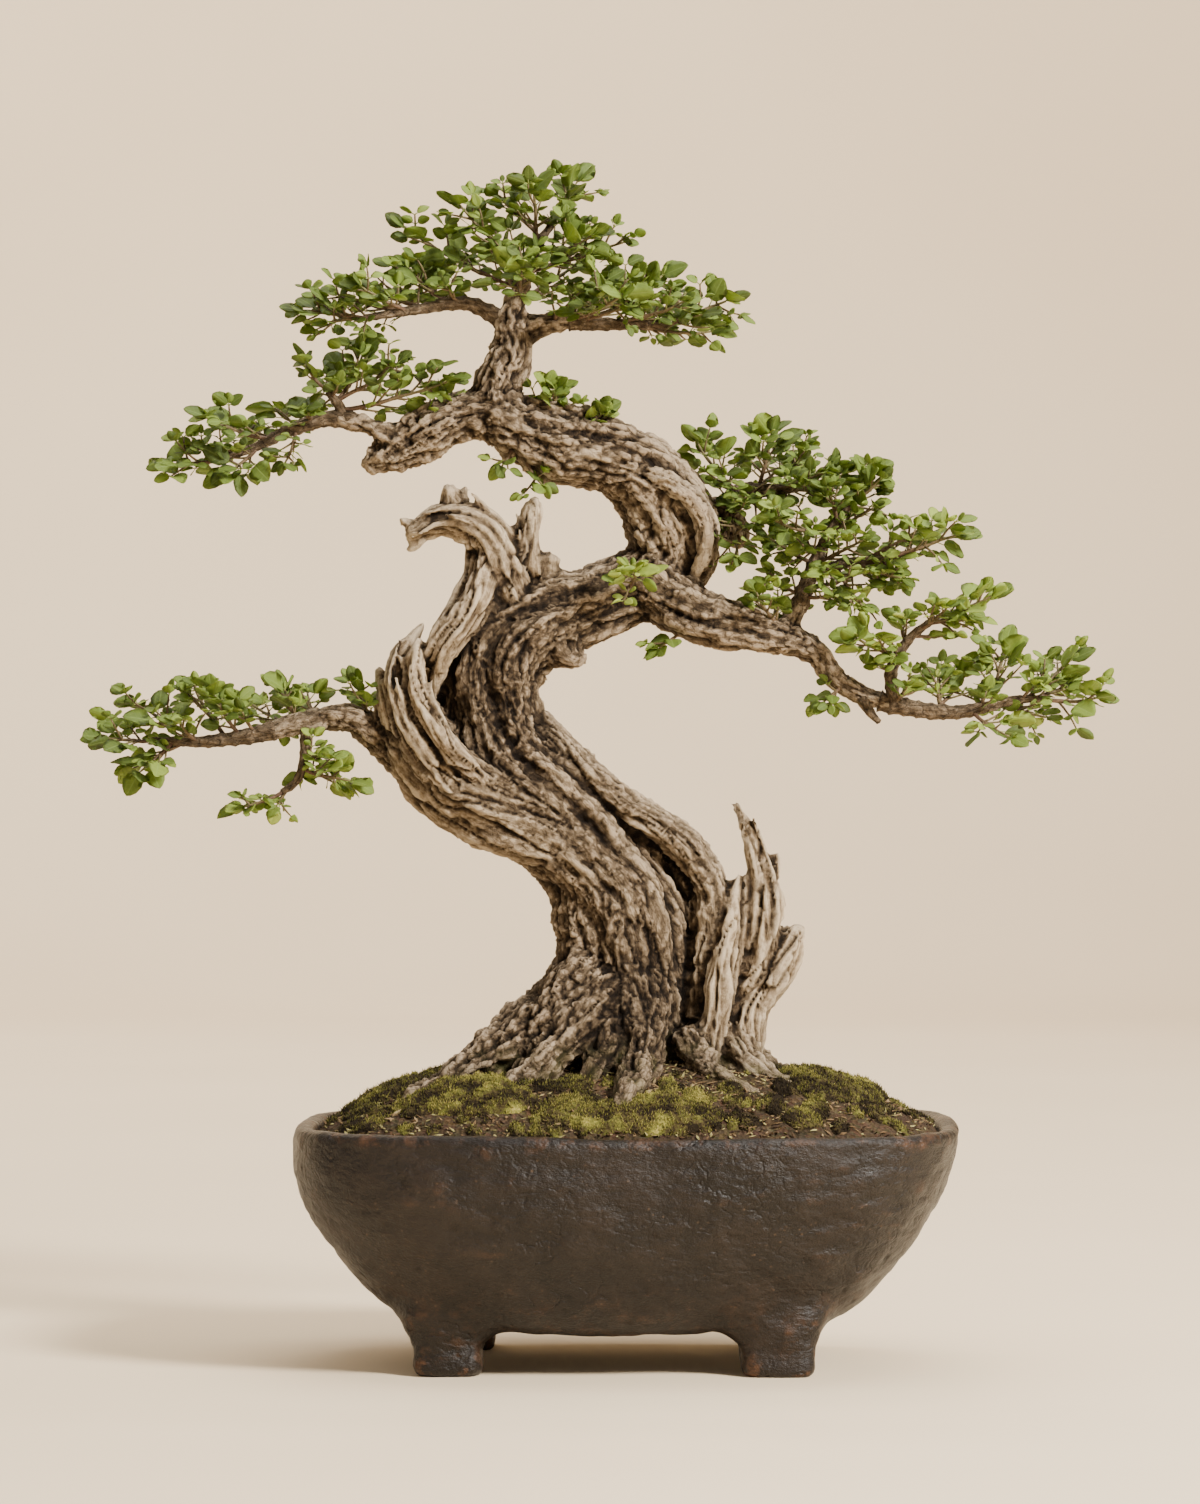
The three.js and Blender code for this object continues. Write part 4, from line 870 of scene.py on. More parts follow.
# The noises cut into the wood: the width and the length of their lumps along the fibre, and a seed.
RELIEF = {
    "bend": (15, 26, 20),
    "bared": (11, 38, 21),
    "lump": (7.5, 11, 22),
    "small_lump": (3.9, 5.5, 23),
    "flare_lump": (13, 17, 40),
    "strand": (8, 65, 24),
    "grain": (3.4, 34, 25),
    "torn": (3.1, 30, 33),
    "rough": (2.7, 3.2, 38),
    "fine": (1.7, 1.9, 39),
    "crack": (9, 52, 26),
    "pit": (9, 12, 27),
    "damp": (8, 14, 28),
}
PLATE_WIDTH = 4.6
PLATE_LENGTH = 7.5
PLATE_SEED = 34
FIBRE_BEND = 3.4  # how far the fibre strays to the side
CRACK_WIDTH = 0.06
SEAM_REACH = 1.6
ROOT_FLARE = (215, 175)  # the heights over which the large lumps of the trunk's foot begin
DAMP_HEIGHT = 22


def weathered(points, faces, limbs):
    """The skin of the wood with its bark or its grain cut in, and the values that its colour needs."""
    edges = edges_of(faces)
    points = relaxed(points, edges, 1) * 0.5 + points * 0.5
    fibre, dead, seam, radius, soft = fibre_values(points, limbs)
    grown = (soft * np.exp(-((seam / SEAM_WIDTH) ** 2)))[:, None]
    points = points + grown * (relaxed(points, edges, SEAM_ROUNDS) - points)
    x, y, run = fibre.T

    def cut(name):
        width, length, seed = RELIEF[name]
        return noise(x / width, y / width, run / length, seed)

    bend = cut("bend")
    x, y = x + FIBRE_BEND * bend, y - FIBRE_BEND * bend
    dead = np.clip(dead + 0.4 * cut("bared"), 0, 1)
    size = np.clip(radius / 8, 0.42, 1)
    knobby = smooth_step(*BOW, points[:, 2]) + 0.8 * smooth_step(*LOW_TRUNK, points[:, 2])
    lumps = cut("lump") + 0.6 * cut("small_lump")
    lumps = lumps + 0.9 * smooth_step(*ROOT_FLARE, points[:, 2]) * cut("flare_lump")
    strands = valleys(cut("strand")) - 0.6
    grain = cut("grain")
    torn = valleys(cut("torn"), 0.1) - 0.5
    places = (x / PLATE_WIDTH + 0.3 * bend, y / PLATE_WIDTH, run / PLATE_LENGTH + 0.5 * lumps)
    border, own = flakes(*places, PLATE_SEED)
    plates = 0.8 * own + 0.9 * smooth_step(0.0, 0.32, border) - 0.6
    rough = cut("rough") + 0.6 * cut("fine")
    cracks = np.exp(-((cut("crack") / CRACK_WIDTH) ** 2))
    pits = smooth_step(0.35, 0.75, cut("pit"))
    live = (1.0 + 1.3 * knobby) * lumps + (0.75 - 0.4 * knobby) * strands + 0.2 * grain + 0.75 * rough
    live = live + (0.85 + 0.35 * knobby) * plates - 1.6 * cracks - (1.4 + knobby) * pits
    bare = 0.8 * lumps + 1.3 * strands + 0.8 * grain + 1.6 * torn + 0.45 * rough - 2.2 * cracks - 0.9 * pits
    height = size * (live * (1 - dead) + bare * dead)
    height -= SEAM_DEPTH * (1 - soft) * size * np.exp(-seam / SEAM_REACH)
    points = points + normals_of(points, faces) * height[:, None]
    close = hollowness(points, faces, edges, 3)
    wide = hollowness(points, faces, edges, 22)
    # Painted shade in the hollows and painted light on the ridges, from how deep each point lies.
    hollow = np.clip(close / 0.8, -0.8, 1) * 0.45 + np.clip(wide / 2.0, -0.7, 1.6) * 0.8
    # Patches of painted shade and painted light over the trunk.
    for place_x, place_z, wide_x, high_z, much in PAINTED_SHADE_AND_LIGHT:
        spot = ((points[:, 0] - place_x) / wide_x) ** 2 + ((points[:, 2] - place_z) / high_z) ** 2
        hollow = hollow + much * np.exp(-spot)
    ground = soil_top(points[:, 0], points[:, 1])
    damp = smooth_step(-0.4, 0.5, cut("damp") + 0.3) * smooth_step(DAMP_HEIGHT, 0, points[:, 2] - ground)
    return points, {"fibre": fibre, "dead": dead, "hollow": hollow, "damp": damp}


def wood_limbs():
    """Every limb of the tree: the core, its limbs and the boughs."""
    limbs = [Limb(CORE, CORE_DEPTH, CORE_DEAD, 1)]
    for k, (name, rows) in enumerate(LIMBS.items()):
        soft = 1.0 if name.startswith("root") or name in GROWN_IN else 0.0
        limbs.append(Limb(rows, 1.0, DEAD.get(name, 0.0), 2 + k, soft=soft))
        if name in SPLINTERED:
            limbs += splinters(limbs[-1], SPLINTERED[name], SPLINTER_SEED + 17 * k)
    rows = [bough["points"] for bough in BOUGHS.values()]
    return limbs, [Limb(row, 1.0, BOUGH_DEAD, BOUGH_SEED + k, 1.2, 1.0) for k, row in enumerate(rows)]


def splinters(limb, count, seed):
    """Slivers that stand a little off a weathered limb and end in points of their own."""
    pick = partial(between, random_from(seed))
    made = []
    for k in range(count):
        start, end, turn = pick(0.05, 0.5), pick(0.72, 1.0), pick(0, 2 * math.pi)
        places = np.linspace(start, end, len(SPLINTER_RISE))
        rows = []
        for j, (place, rise, thickness) in enumerate(zip(places, SPLINTER_RISE, SPLINTER_THICKNESS)):
            i = int(place * (len(limb.centre) - 1))
            out = math.cos(turn) * limb.across[i] + math.sin(turn) * limb.side[i]
            point = limb.centre[i] + out * (limb.radius[i] * rise + 0.25 * j)
            rows.append([*point, max(0.7, limb.radius[i] * thickness)])
        rows = np.array(rows)
        rows[-1, :3] += unit(rows[-1, :3] - rows[-2, :3]) * pick(1, 5)
        made.append(Limb(rows, 1.0, limb.dead, seed + k, placed=True))
    return made


def make_wood(material):
    """The trunk with its roots, dead wood and thick boughs as one skin, and the thin boughs."""
    limbs, boughs = wood_limbs()
    thick = [bough.part(bough.radius > THIN_BOUGH) for bough in boughs if bough.radius[0] > THIN_BOUGH + 0.6]
    shape = Shape()
    for limb in limbs + thick:
        limb.tube(shape, big_relief(limb))
    points, faces = remeshed(shape.mesh("trunk_parts"), WOOD_VOXEL)
    points, values = weathered(points, faces, limbs + thick)
    skin = Shape()
    skin.add(points, faces, **values)
    add_piece("wood_trunk", skin, [material], ["trunk"], WOOD_TRIANGLES)
    thin = Shape()
    for bough in boughs:
        add_thin_bough(thin, bough.part(bough.radius < THIN_BOUGH + 0.5))
    add_piece("wood_boughs", thin, [material], ["trunk"])


def add_thin_bough(shape, limb):
    """A thin bough with swollen nodes and uneven bark."""
    def relief(angle):
        run = limb.run[:, None]
        x, y, z = np.cos(angle) * 1.3, np.sin(angle) * 1.3, run / 5.5 + limb.seed
        bark = noise(x, y, z, 31) + noise(2 * x, 2 * y, 2 * z, 32) / 2
        return 0.16 * np.cos(run * 2 * math.pi / NODE_DISTANCE + limb.seed) ** 8 + 0.17 * bark - 0.03

    start = shape.count
    angle = limb.tube(shape, relief, 0.9)
    run = np.repeat(limb.run, len(angle)) + LIMB_SPACING * limb.seed
    fibre = around(np.tile(angle, len(limb.run)), np.repeat(limb.radius, len(angle)), run)
    fibre = np.vstack([fibre, fibre[[0, -1]]])
    bark = noise(fibre[:, 0] / 2, fibre[:, 1] / 2, fibre[:, 2] / 4, 32)
    values = {"fibre": fibre, "dead": BOUGH_DEAD, "hollow": -0.1 - 0.5 * bark, "damp": 0.0}
    shape.give(start, len(fibre), values)


# Soil and moss

def plan_reach(angle):
    """How far the pot's plan reaches at an angle, at the rim."""
    across = np.abs(np.cos(angle)) / POT_HALF_WIDTH
    along = np.abs(np.sin(angle)) / POT_HALF_DEPTH
    reach = (across**PLAN_POWER + along**PLAN_POWER) ** (-1 / PLAN_POWER)
    hand = 0.006 * np.sin(2 * angle + 0.7) + 0.005 * np.sin(3 * angle + 2.1)
    for crease in CREASES:
        hand = hand + CREASE_HEIGHT * np.exp(-(((angle - crease) / CREASE_WIDTH) ** 2))
    return reach * (1 + hand)


def soil_top(x, y):
    """The height of the soil, rising from the rim to the mound round the roots."""
    x, y = np.asarray(x, float), np.asarray(y, float)
    edge = plan_reach(np.arctan2(y, x - POT_CENTRE_X)) - WALL - SOIL_GAP
    share = np.minimum(1, np.hypot(x - POT_CENTRE_X, y) / edge)
    mound = MOUND_HEIGHT * np.maximum(0, 1 - share**2.2) ** 0.9
    lumps = 1.6 * np.sin(x * 0.09 + 1) * np.sin(y * 0.11 + 0.5) * (1 - share**4)
    return SOIL_EDGE_Z + mound + lumps


# Foliage

UP = np.array([0.0, 0, 1])
SPRAY_SEED = 700
SPRIG_SEED = 9100
LEAF_LENGTH = (12, 15.5)
MIDDLE_LEAF_LENGTH = (6, 10.5)
SMALL_LEAF_LENGTH = (5, 8.5)
BUD_LEAF_LENGTH = (3.5, 6)
LEAF_WAVE = 0.022
ONWARD_SHARE = 0.85  # the length of the leaf that goes on with a twig, as a share of the others'
NODE_TWIG_RADIUS = 0.62
SHOOT_RADIUS = 0.68
SHOOT_REACH = (5, 24)
ONE_PAIR_REACH = 9  # a shoot longer than this has a pair of leaves at its elbow
TWO_PAIR_REACH = 18  # and one longer than this has another pair before it
ELBOW_SHARE = 0.55  # where on a shoot its elbow is
PAIR_PETIOLE = 1.6
STEM_SPACING = 2.2
NODE_SWELLING = 0.35
TIP_LEAF_REACH = 11  # how far the leaves at a stem's end go past it
SHORT_STEM = 20  # a shorter stem has one pair of leaves and no side twigs
LONG_STEM = 52  # a longer one has three nodes
LONGEST_TWIG = 17
SKIPPED = 0.17  # the share of the twigs between the nodes that are missing
LEAF_SHARE = 0.8  # width over length
LEAF_FOLD = 0.2
LEAF_DROOP = 0.08
LEAF_HALF_THICKNESS = 0.13
VEIN_PAIRS = 6.0
LEAF_ROWS = np.array([0.06, 0.23, 0.48, 0.75, 0.93])
LEAF_RING = np.array([-1, -0.5, 0, 0.5, 1, 0])  # across the top face and back below
STEM_RADIUS = 1.25
STEM_END_RADIUS = 0.6
TWIG_END_RADIUS = 0.42
PETIOLE_RADIUS = np.array([0.36, 0.28, 0.24])
NODE_SPACING = 11.5
# How young, so how yellow, the leaves of a bough's sprays are, and those of the others.
YOUNG = {"lower_left_hang": 0.52, "lower_left": 0.36, "great_mid": 0.45, "great_arm": 0.5, "great": 0.42}
USUAL_YOUNG = 0.3
SPRIG_YOUNG = 0.4
FRONT_SHOOT_YOUNG = 0.6
# Small sprigs as [base, tip] seen from the front.
SPRIGS = {
    "bow_top_left": ([-26, -2, 468], [-18, -12, 494]),
    "bow_top_right": ([-6, 0, 466], [8, -10, 482]),
    "under_bow_right": ([-38, -8, 452], [-24, -16, 429]),
    "under_bow_left": ([-44, -8, 455], [-54, -15, 438]),
    "upper_left_inner": ([-90, -7, 466], [-74, -10, 492]),
    "lower_left_inner": ([-112, -9, 316], [-126, -15, 348]),
    "great_hanging": ([122, -5, 338], [104, -12, 322]),
    "great_inner": ([92, -4, 364], [72, -20, 392]),
}

# Sprays that fill the pads between those of the construction, as [place along the bough, tip x, y, z].
FILLS = {
    "leader": [
        [0.7, -20, -28, 560], [0.72, -62, -20, 560], [0.74, 22, 4, 562], [0.9, -58, 4, 590],
        [0.62, -8, 34, 550],
    ],
    "crown_left": [
        [0.75, -142, -8, 536], [0.4, -80, -30, 543], [0.6, -118, 24, 534], [0.9, -146, -34, 518],
    ],
    "crown_right": [[0.7, 52, -12, 532], [0.5, 28, -22, 530], [0.8, 50, 32, 526], [0.3, -4, -22, 540]],
    "upper_left": [
        [0.7, -184, 8, 468], [0.5, -152, -30, 480], [0.85, -214, -4, 458], [0.6, -160, -26, 440],
    ],
    "upper_left_rise": [[0.8, -128, -26, 494], [0.6, -92, -14, 504], [0.5, -140, 16, 492]],
    "lower_left": [
        [0.8, -216, -32, 324], [0.62, -184, -30, 332], [0.45, -148, 14, 340], [0.85, -232, -12, 300],
        [0.7, -208, 16, 344],
    ],
    "lower_left_hang": [
        [0.8, -168, -18, 268], [0.3, -134, -30, 304], [0.5, -150, -8, 284], [0.2, -128, -14, 290],
    ],
    "great": [
        [0.72, 168, 14, 350], [0.8, 196, -16, 344], [0.9, 224, -18, 344], [0.62, 158, -26, 342],
        [0.85, 232, 8, 318], [0.95, 244, 10, 342], [0.3, 84, 22, 384],
    ],
    "great_rise": [
        [0.6, 130, 16, 428], [0.5, 140, -20, 414], [0.55, 90, 24, 416], [0.3, 78, 8, 398],
        [0.8, 112, -18, 444], [0.3, 124, -24, 384], [0.5, 76, -4, 416], [0.9, 148, -6, 448],
        [0.7, 146, -4, 432], [0.6, 98, -26, 404],
    ],
    "great_mid": [
        [0.7, 168, -12, 420], [0.3, 112, -26, 392], [0.5, 150, 10, 384], [0.6, 160, -26, 388],
        [0.4, 136, -28, 370], [0.7, 168, 4, 408], [0.9, 158, -10, 380],
    ],
    "great_arm": [
        [0.7, 180, -2, 362], [0.8, 180, -34, 382], [0.5, 144, -30, 348], [0.9, 196, -22, 372],
        [0.6, 148, -2, 380], [0.3, 128, -12, 352],
    ],
    "back_bough": [
        [0.3, 60, -2, 448], [0.7, 108, 32, 464], [0.8, 116, -8, 434], [0.3, 66, 4, 426], [0.4, 88, -6, 420],
        [0.2, 70, -18, 396], [0.7, 120, -10, 446],
    ],
}
FILL_SEED = 6100
FILL_SCALE = 0.68  # their leaves are smaller than those at the outside
SHOOT_SCALE = 0.8  # and so are those of the shoots on old wood
BLADE, TWIG = 0, 1  # the places of the two materials of a spray


def normal_to(way, wish):
    """The direction at a right angle to a way that is nearest to a wished one."""
    normal = wish - way * way.dot(wish)
    if np.linalg.norm(normal) < 0.15:
        normal = np.array([0, -1.0, 0]) + way * way[1]
    return normal / np.linalg.norm(normal)


def turned(way, towards, angle):
    return way * math.cos(angle) + towards * math.sin(angle)


def leaf_facing(random):
    """The way a leaf's face looks: mostly up, leaning to the front or to the back."""
    lean = -1 if random() < 0.62 else 1
    x = 1.5 * random() - 0.75
    return np.array([x, lean * (0.3 + 0.9 * random()), 0.75])


class Spray:
    """A green shoot: its stem, its twigs and its leaves."""

    def __init__(self, base, target, seed, young, shape=None, scale=1.0):
        self.random, self.extra = random_from(seed), random_from(seed + 50000)
        self.young, self.scale = young, scale
        self.shape = shape or Shape()
        self.leaves = []
        line = target - base
        self.length = np.linalg.norm(line) - TIP_LEAF_REACH
        self.base = base
        self.tip = base + unit(line) * self.length
        pick = partial(between, self.random)
        bow = np.array([pick(-0.1, 0.1), pick(-0.1, 0.1), pick(-0.12, 0.02)])
        self.middle = (base + self.tip) / 2 + bow * self.length
        shares = self.node_shares()
        for k, share in enumerate(shares):
            self.add_node(k, share)
        self.add_cluster(self.random, self.tip, self.way(1), True, LEAF_LENGTH, 1.0)
        self.add_between_nodes()
        self.add_tip_bud()
        self.add_stem(shares)

    def at(self, t):
        return bowed(np.asarray(t, float)[..., None], self.base, self.middle, self.tip)

    def way(self, t):
        return unit((1 - t) * (self.middle - self.base) + t * (self.tip - self.middle))

    def frame_at(self, share):
        """A place on the stem, the stem's way there, and two directions across it."""
        way = self.way(share)
        normal = normal_to(way, UP)
        return self.at(share), way, normal, np.cross(way, normal)

    def node_shares(self):
        if self.length < SHORT_STEM:
            return [0.55]
        return [0.4, 0.73] if self.length < LONG_STEM else [0.34, 0.58, 0.8]

    def add_node(self, k, share):
        """A pair of opposite leaves; at the first node of a long stem each is on a twig."""
        pick = partial(between, self.random)
        root, way, normal, side = self.frame_at(share)
        towards = turned(side, normal, pick(-0.45, 0.45) + (0.6 if k == 1 else 0))
        reach = self.length * pick(0.3, 0.42)
        reach = min(LONGEST_TWIG, reach) if k == 0 else 4
        reach = 0 if self.length < SHORT_STEM else reach
        for sign in (-1, 1):
            heading = turned(way, sign * towards, pick(0.85, 1.2))
            heading = unit(heading + UP * pick(0, 0.3))
            end = root + heading * reach
            facing = normal_to(heading, leaf_facing(self.random))
            on_twig = reach >= 5
            start = end if on_twig else root
            self.add_leaf(start, end + heading * 0.8, heading, facing, pick(*LEAF_LENGTH), 0)
            if on_twig:
                middle = root + heading * reach * 0.5 - UP * 0.5
                self.add_twig(root, middle, end, NODE_TWIG_RADIUS, 0.25)
                self.add_pair(self.extra, end - heading * 1.5, heading)

    def add_cluster(self, random, end, way, onward, sizes, petiole, young=0.0):
        """The leaves round the end of a twig: an opposite pair and one that goes on with it."""
        normal = normal_to(way, UP)
        side = np.cross(way, normal)
        open_angle = between(random, 0.8, 1.15)
        headings = [turned(way, -side, open_angle), turned(way, side, open_angle)]
        for k, share in enumerate((1, 1, ONWARD_SHARE) if onward else (1, 1)):
            heading = headings[k] if k < 2 else turned(way, normal, between(random, -0.35, 0.2))
            facing = normal_to(heading, leaf_facing(random))
            length = between(random, *sizes) * share
            self.add_leaf(end, end + heading * petiole, heading, facing, length, young)

    def add_pair(self, random, root, way):
        """An opposite pair of small leaves on a twig."""
        normal = normal_to(way, UP)
        side = turned(np.cross(way, normal), normal, between(random, -0.5, 0.5))
        for sign in (-1, 1):
            heading = turned(way, sign * side, between(random, 0.9, 1.25))
            facing = normal_to(heading, leaf_facing(random))
            length = between(random, *SMALL_LEAF_LENGTH)
            self.add_leaf(root, root + heading * PAIR_PETIOLE, heading, facing, length, 0.05)

    def add_between_nodes(self):
        """Short leafy shoots between the nodes, each pair at a right angle to the one before."""
        random = self.extra
        pick = partial(between, random)
        count = int(np.clip(round(self.length / (NODE_SPACING * self.scale)), 1, 9))
        turn = pick(0, math.pi)
        for i in range(count):
            share = 0.1 + 0.86 * (i + pick(0.2, 0.8)) / count
            root, way, normal, side = self.frame_at(share)
            turn += math.pi / 2 + pick(-0.35, 0.35)
            towards = turned(side, normal, turn)
            for sign in (-1, 1):
                reach = pick(*SHOOT_REACH) * (1.15 - 0.6 * share) * min(1, 0.4 + self.length / 60)
                heading = unit(turned(way, sign * towards, pick(0.7, 1.15)) + UP * pick(0.0, 0.5))
                bend = unit(heading + 0.5 * np.array([pick(-1, 1), pick(-1, 1), pick(-0.6, 1)]))
                if random() < SKIPPED:
                    continue
                elbow = root + heading * reach * ELBOW_SHARE
                end = elbow + bend * reach * 0.45
                self.add_twig(root, elbow, end, SHOOT_RADIUS, 0.15)
                onward = random() < 0.75
                self.add_cluster(random, end, bend, onward, MIDDLE_LEAF_LENGTH, pick(0.8, 2.2), 0.06)
                if reach > ONE_PAIR_REACH:
                    self.add_pair(random, elbow, heading)
                if reach > TWO_PAIR_REACH:
                    self.add_pair(random, root + heading * reach * 0.3, normal_to(heading, UP))

    def add_tip_bud(self):
        """Tiny new leaves at the very end of the stem."""
        pick = partial(between, self.extra)
        tip, way, normal, _ = self.frame_at(1)
        for sign in (-1, 1):
            heading = turned(way, sign * normal, pick(0.35, 0.7))
            facing = normal_to(heading, -sign * way + UP * 0.3)
            self.add_leaf(tip, tip + heading * 0.6, heading, facing, pick(*BUD_LEAF_LENGTH), 0.4)

    def add_stem(self, shares):
        """The stem with its swollen nodes, woody at its base and green at its end."""
        count = max(8, int(self.length / STEM_SPACING))
        t = np.linspace(0, 1, count)
        radius = STEM_RADIUS + (STEM_END_RADIUS - STEM_RADIUS) * t
        radius = radius * min(1, 0.7 + self.length / 130)
        for share in shares:
            radius = radius * (1 + NODE_SWELLING * np.exp(-(((t - share) * self.length / 1.5) ** 2)))
        rough = noise(t * self.length / 3, self.base[0], 0.5, 41)
        sway = np.stack([noise(t * self.length / 9, self.base[2] + k, 0.5, 42) for k in range(3)], 1)
        add_tube(self.shape, self.at(t) + 0.55 * sway, radius * (1 + 0.14 * rough), 6, 0.35 * t**2)

    def add_twig(self, start, middle, end, radius, green):
        points = bowed(np.linspace(0, 1, 5)[:, None], start, middle, end)
        add_tube(self.shape, points, np.linspace(radius, TWIG_END_RADIUS, 5), 5, green)

    def add_leaf(self, start, base, heading, facing, length, young):
        """A leaf with its petiole, which runs from start to the foot of the blade."""
        age = self.young + young + between(self.extra, -0.2, 0.2)
        self.leaves.append((base, heading, facing, length * self.scale, age, self.extra()))
        if np.linalg.norm(base - start) > 0.3:
            back = base + heading * 0.8
            points = np.array([start - heading * 0.2, (start + back) / 2, back])
            add_tube(self.shape, points, PETIOLE_RADIUS, 4, 0.95)

    def finished(self, name, materials, replaces):
        add_leaves(self.shape, self.leaves)
        add_piece(name, self.shape, materials, replaces)


def add_tube(shape, points, radius, sides, green):
    """A closed tube of twig along points."""
    way = unit(np.gradient(points, axis=0))
    hold = normal_to(way[0], np.array([0.3, -0.9, 0.4]))
    angle = turns(sides)
    rings = []
    for centre, direction, r in zip(points, way, radius):
        hold = unit(hold - direction * hold.dot(direction))
        side = np.cross(direction, hold)
        rings.append(centre + r * (np.cos(angle)[:, None] * hold + np.sin(angle)[:, None] * side))
    green = np.broadcast_to(green, len(points)).repeat(sides)
    age = np.append(green, [green[0], green[-1]])
    leaf = np.tile([0.5, 0.0, 0.5], (len(age), 1))
    shape.add_closed(np.vstack(rings + [points[[0, -1]]]), sides, TWIG, age=age, leaf=leaf)


def add_leaves(shape, leaves):
    """Every leaf of a spray at once: thin folded blades with waved edges, closed all round."""
    base, heading, facing = (np.array([leaf[k] for leaf in leaves])[:, None, None] for k in range(3))
    length, age, chance = (np.array([leaf[k] for leaf in leaves])[:, None, None, None] for k in (3, 4, 5))
    side = np.cross(heading, facing)
    u = LEAF_ROWS[None, :, None, None]
    v = LEAF_RING[None, None, :, None]
    below = np.array([0, 0, 0, 0, 0, 1.0])[None, None, :, None]
    half = 0.5 * LEAF_SHARE * (0.9 + 0.2 * chance) * length * np.sin(math.pi * u**0.88) ** 0.62
    wave = LEAF_WAVE * length * v**2 * np.sin(8 * u + 40 * chance + np.where(v > 0, 1.7, 0))
    droop = LEAF_DROOP * (0.3 + 2 * chance) * length
    lift = LEAF_FOLD * (0.2 + chance) * np.abs(v) ** 1.3 * half + wave - droop * u**2
    middle = LEAF_HALF_THICKNESS * (1 - v**2) * np.where(below > 0, -1, 1)
    points = base + heading * u * length + side * v * half + facing * (lift + middle)
    feet = base[:, 0]
    tips = feet + heading[:, 0] * length[:, 0] - facing[:, 0] * droop[:, 0]
    rows, ring = len(LEAF_ROWS), len(LEAF_RING)
    total = rows * ring
    count = len(leaves)
    everything = np.concatenate([points.reshape(count, -1, 3), feet, tips], axis=1)
    one_u = np.append(np.repeat(LEAF_ROWS, ring), [0, 1])
    one_v = np.append(np.tile(LEAF_RING, rows), [0, 0])
    own = chance[:, 0, 0]
    values = np.stack(np.broadcast_arrays(one_u, one_v, own), axis=-1)
    start = shape.count
    quads = repeated(grid_faces(rows, ring), total + 2, count)
    ages = np.repeat(age.ravel(), total + 2)
    shape.add(everything.reshape(-1, 3), quads, BLADE, leaf=values.reshape(-1, 3), age=ages)
    fans = np.vstack([cap_faces(0, ring, total, True), cap_faces(total - ring, ring, total + 1, False)])
    shape.more_faces(repeated(fans, total + 2, count), start, BLADE)


def leaf_material():
    """Glossy green blades with a pale midrib and side veins, lit through from behind."""
    n = Nodes("premna_leaf")
    u, v, chance = n.axes(n.attribute("leaf", "Vector"))
    mottle = n.noise(n.place(), 420.0, 4.0, 0.6)
    tone = n.plus(n.attribute("age"), n.centred(mottle, 0.35))
    tone = n.plus(tone, n.centred(chance, 0.22), True)
    green = n.ramp(tone, [
        (0.00, (0.054, 0.074, 0.018)),
        (0.25, (0.118, 0.172, 0.032)),
        (0.50, (0.228, 0.318, 0.054)),
        (0.75, (0.385, 0.485, 0.088)),
        (1.00, (0.600, 0.650, 0.170)),
    ])
    across = n.math("ABSOLUTE", v)
    midrib = n.spread(across, 0.02, 0.10, 1.0, 0.0)
    along = n.minus(u, n.times(across, 0.22))
    stripe = n.math("ABSOLUTE", n.minus(n.math("FRACT", n.times(along, VEIN_PAIRS)), 0.5))
    veins = n.times(n.spread(stripe, 0.40, 0.49), n.spread(across, 0.95, 0.6))
    lines = n.math("MAXIMUM", midrib, n.times(veins, 0.45))
    colour = n.mix(n.times(lines, 0.4), green, (0.34, 0.46, 0.13))
    edge = n.times(n.spread(across, 0.86, 1.0), 0.25)
    colour = n.mix(edge, colour, (0.30, 0.36, 0.07))
    normal = n.bump(n.minus(n.times(mottle, 0.3), lines), 0.45, 0.35)
    material = n.finish(colour, n.spread(mottle, 0.3, 0.7, 0.5, 0.66), normal, 0.32)
    glow = n.tree.nodes.new("ShaderNodeBsdfTranslucent")
    n.plug(n.mix(0.5, colour, (0.55, 0.66, 0.09)), glow.inputs["Color"])
    blend = n.tree.nodes.new("ShaderNodeMixShader")
    blend.inputs[0].default_value = 0.38
    n.tree.links.new(n.shader.outputs[0], blend.inputs[1])
    n.tree.links.new(glow.outputs[0], blend.inputs[2])
    n.tree.links.new(blend.outputs[0], n.output.inputs["Surface"])
    return material


def twig_material():
    """Brown woody twigs that turn green towards their ends."""
    n = Nodes("premna_twig")
    rough = n.noise(n.place(), 700.0, 4.0, 0.65)
    rings = n.noise(n.scaled(n.place(), (0.4, 0.4, 1.6)), 520.0, 2.0, 0.5)
    tone = n.total((rough, 0.6), (rings, 0.4))
    wood = n.ramp(tone, [
        (0.25, (0.030, 0.015, 0.008)),
        (0.50, (0.105, 0.058, 0.034)),
        (0.75, (0.250, 0.160, 0.105)),
    ])
    fresh = n.ramp(tone, [(0.2, (0.100, 0.130, 0.025)), (0.8, (0.300, 0.360, 0.090))])
    colour = n.mix(n.attribute("age"), wood, fresh)
    return n.finish(colour, n.spread(rough, 0.3, 0.7, 0.75, 0.55), n.bump(rough, 0.6, 0.3), 0.3)


def bough_axis(name):
    return seen(np.array(BOUGHS[name]["points"], float)[:, :3])


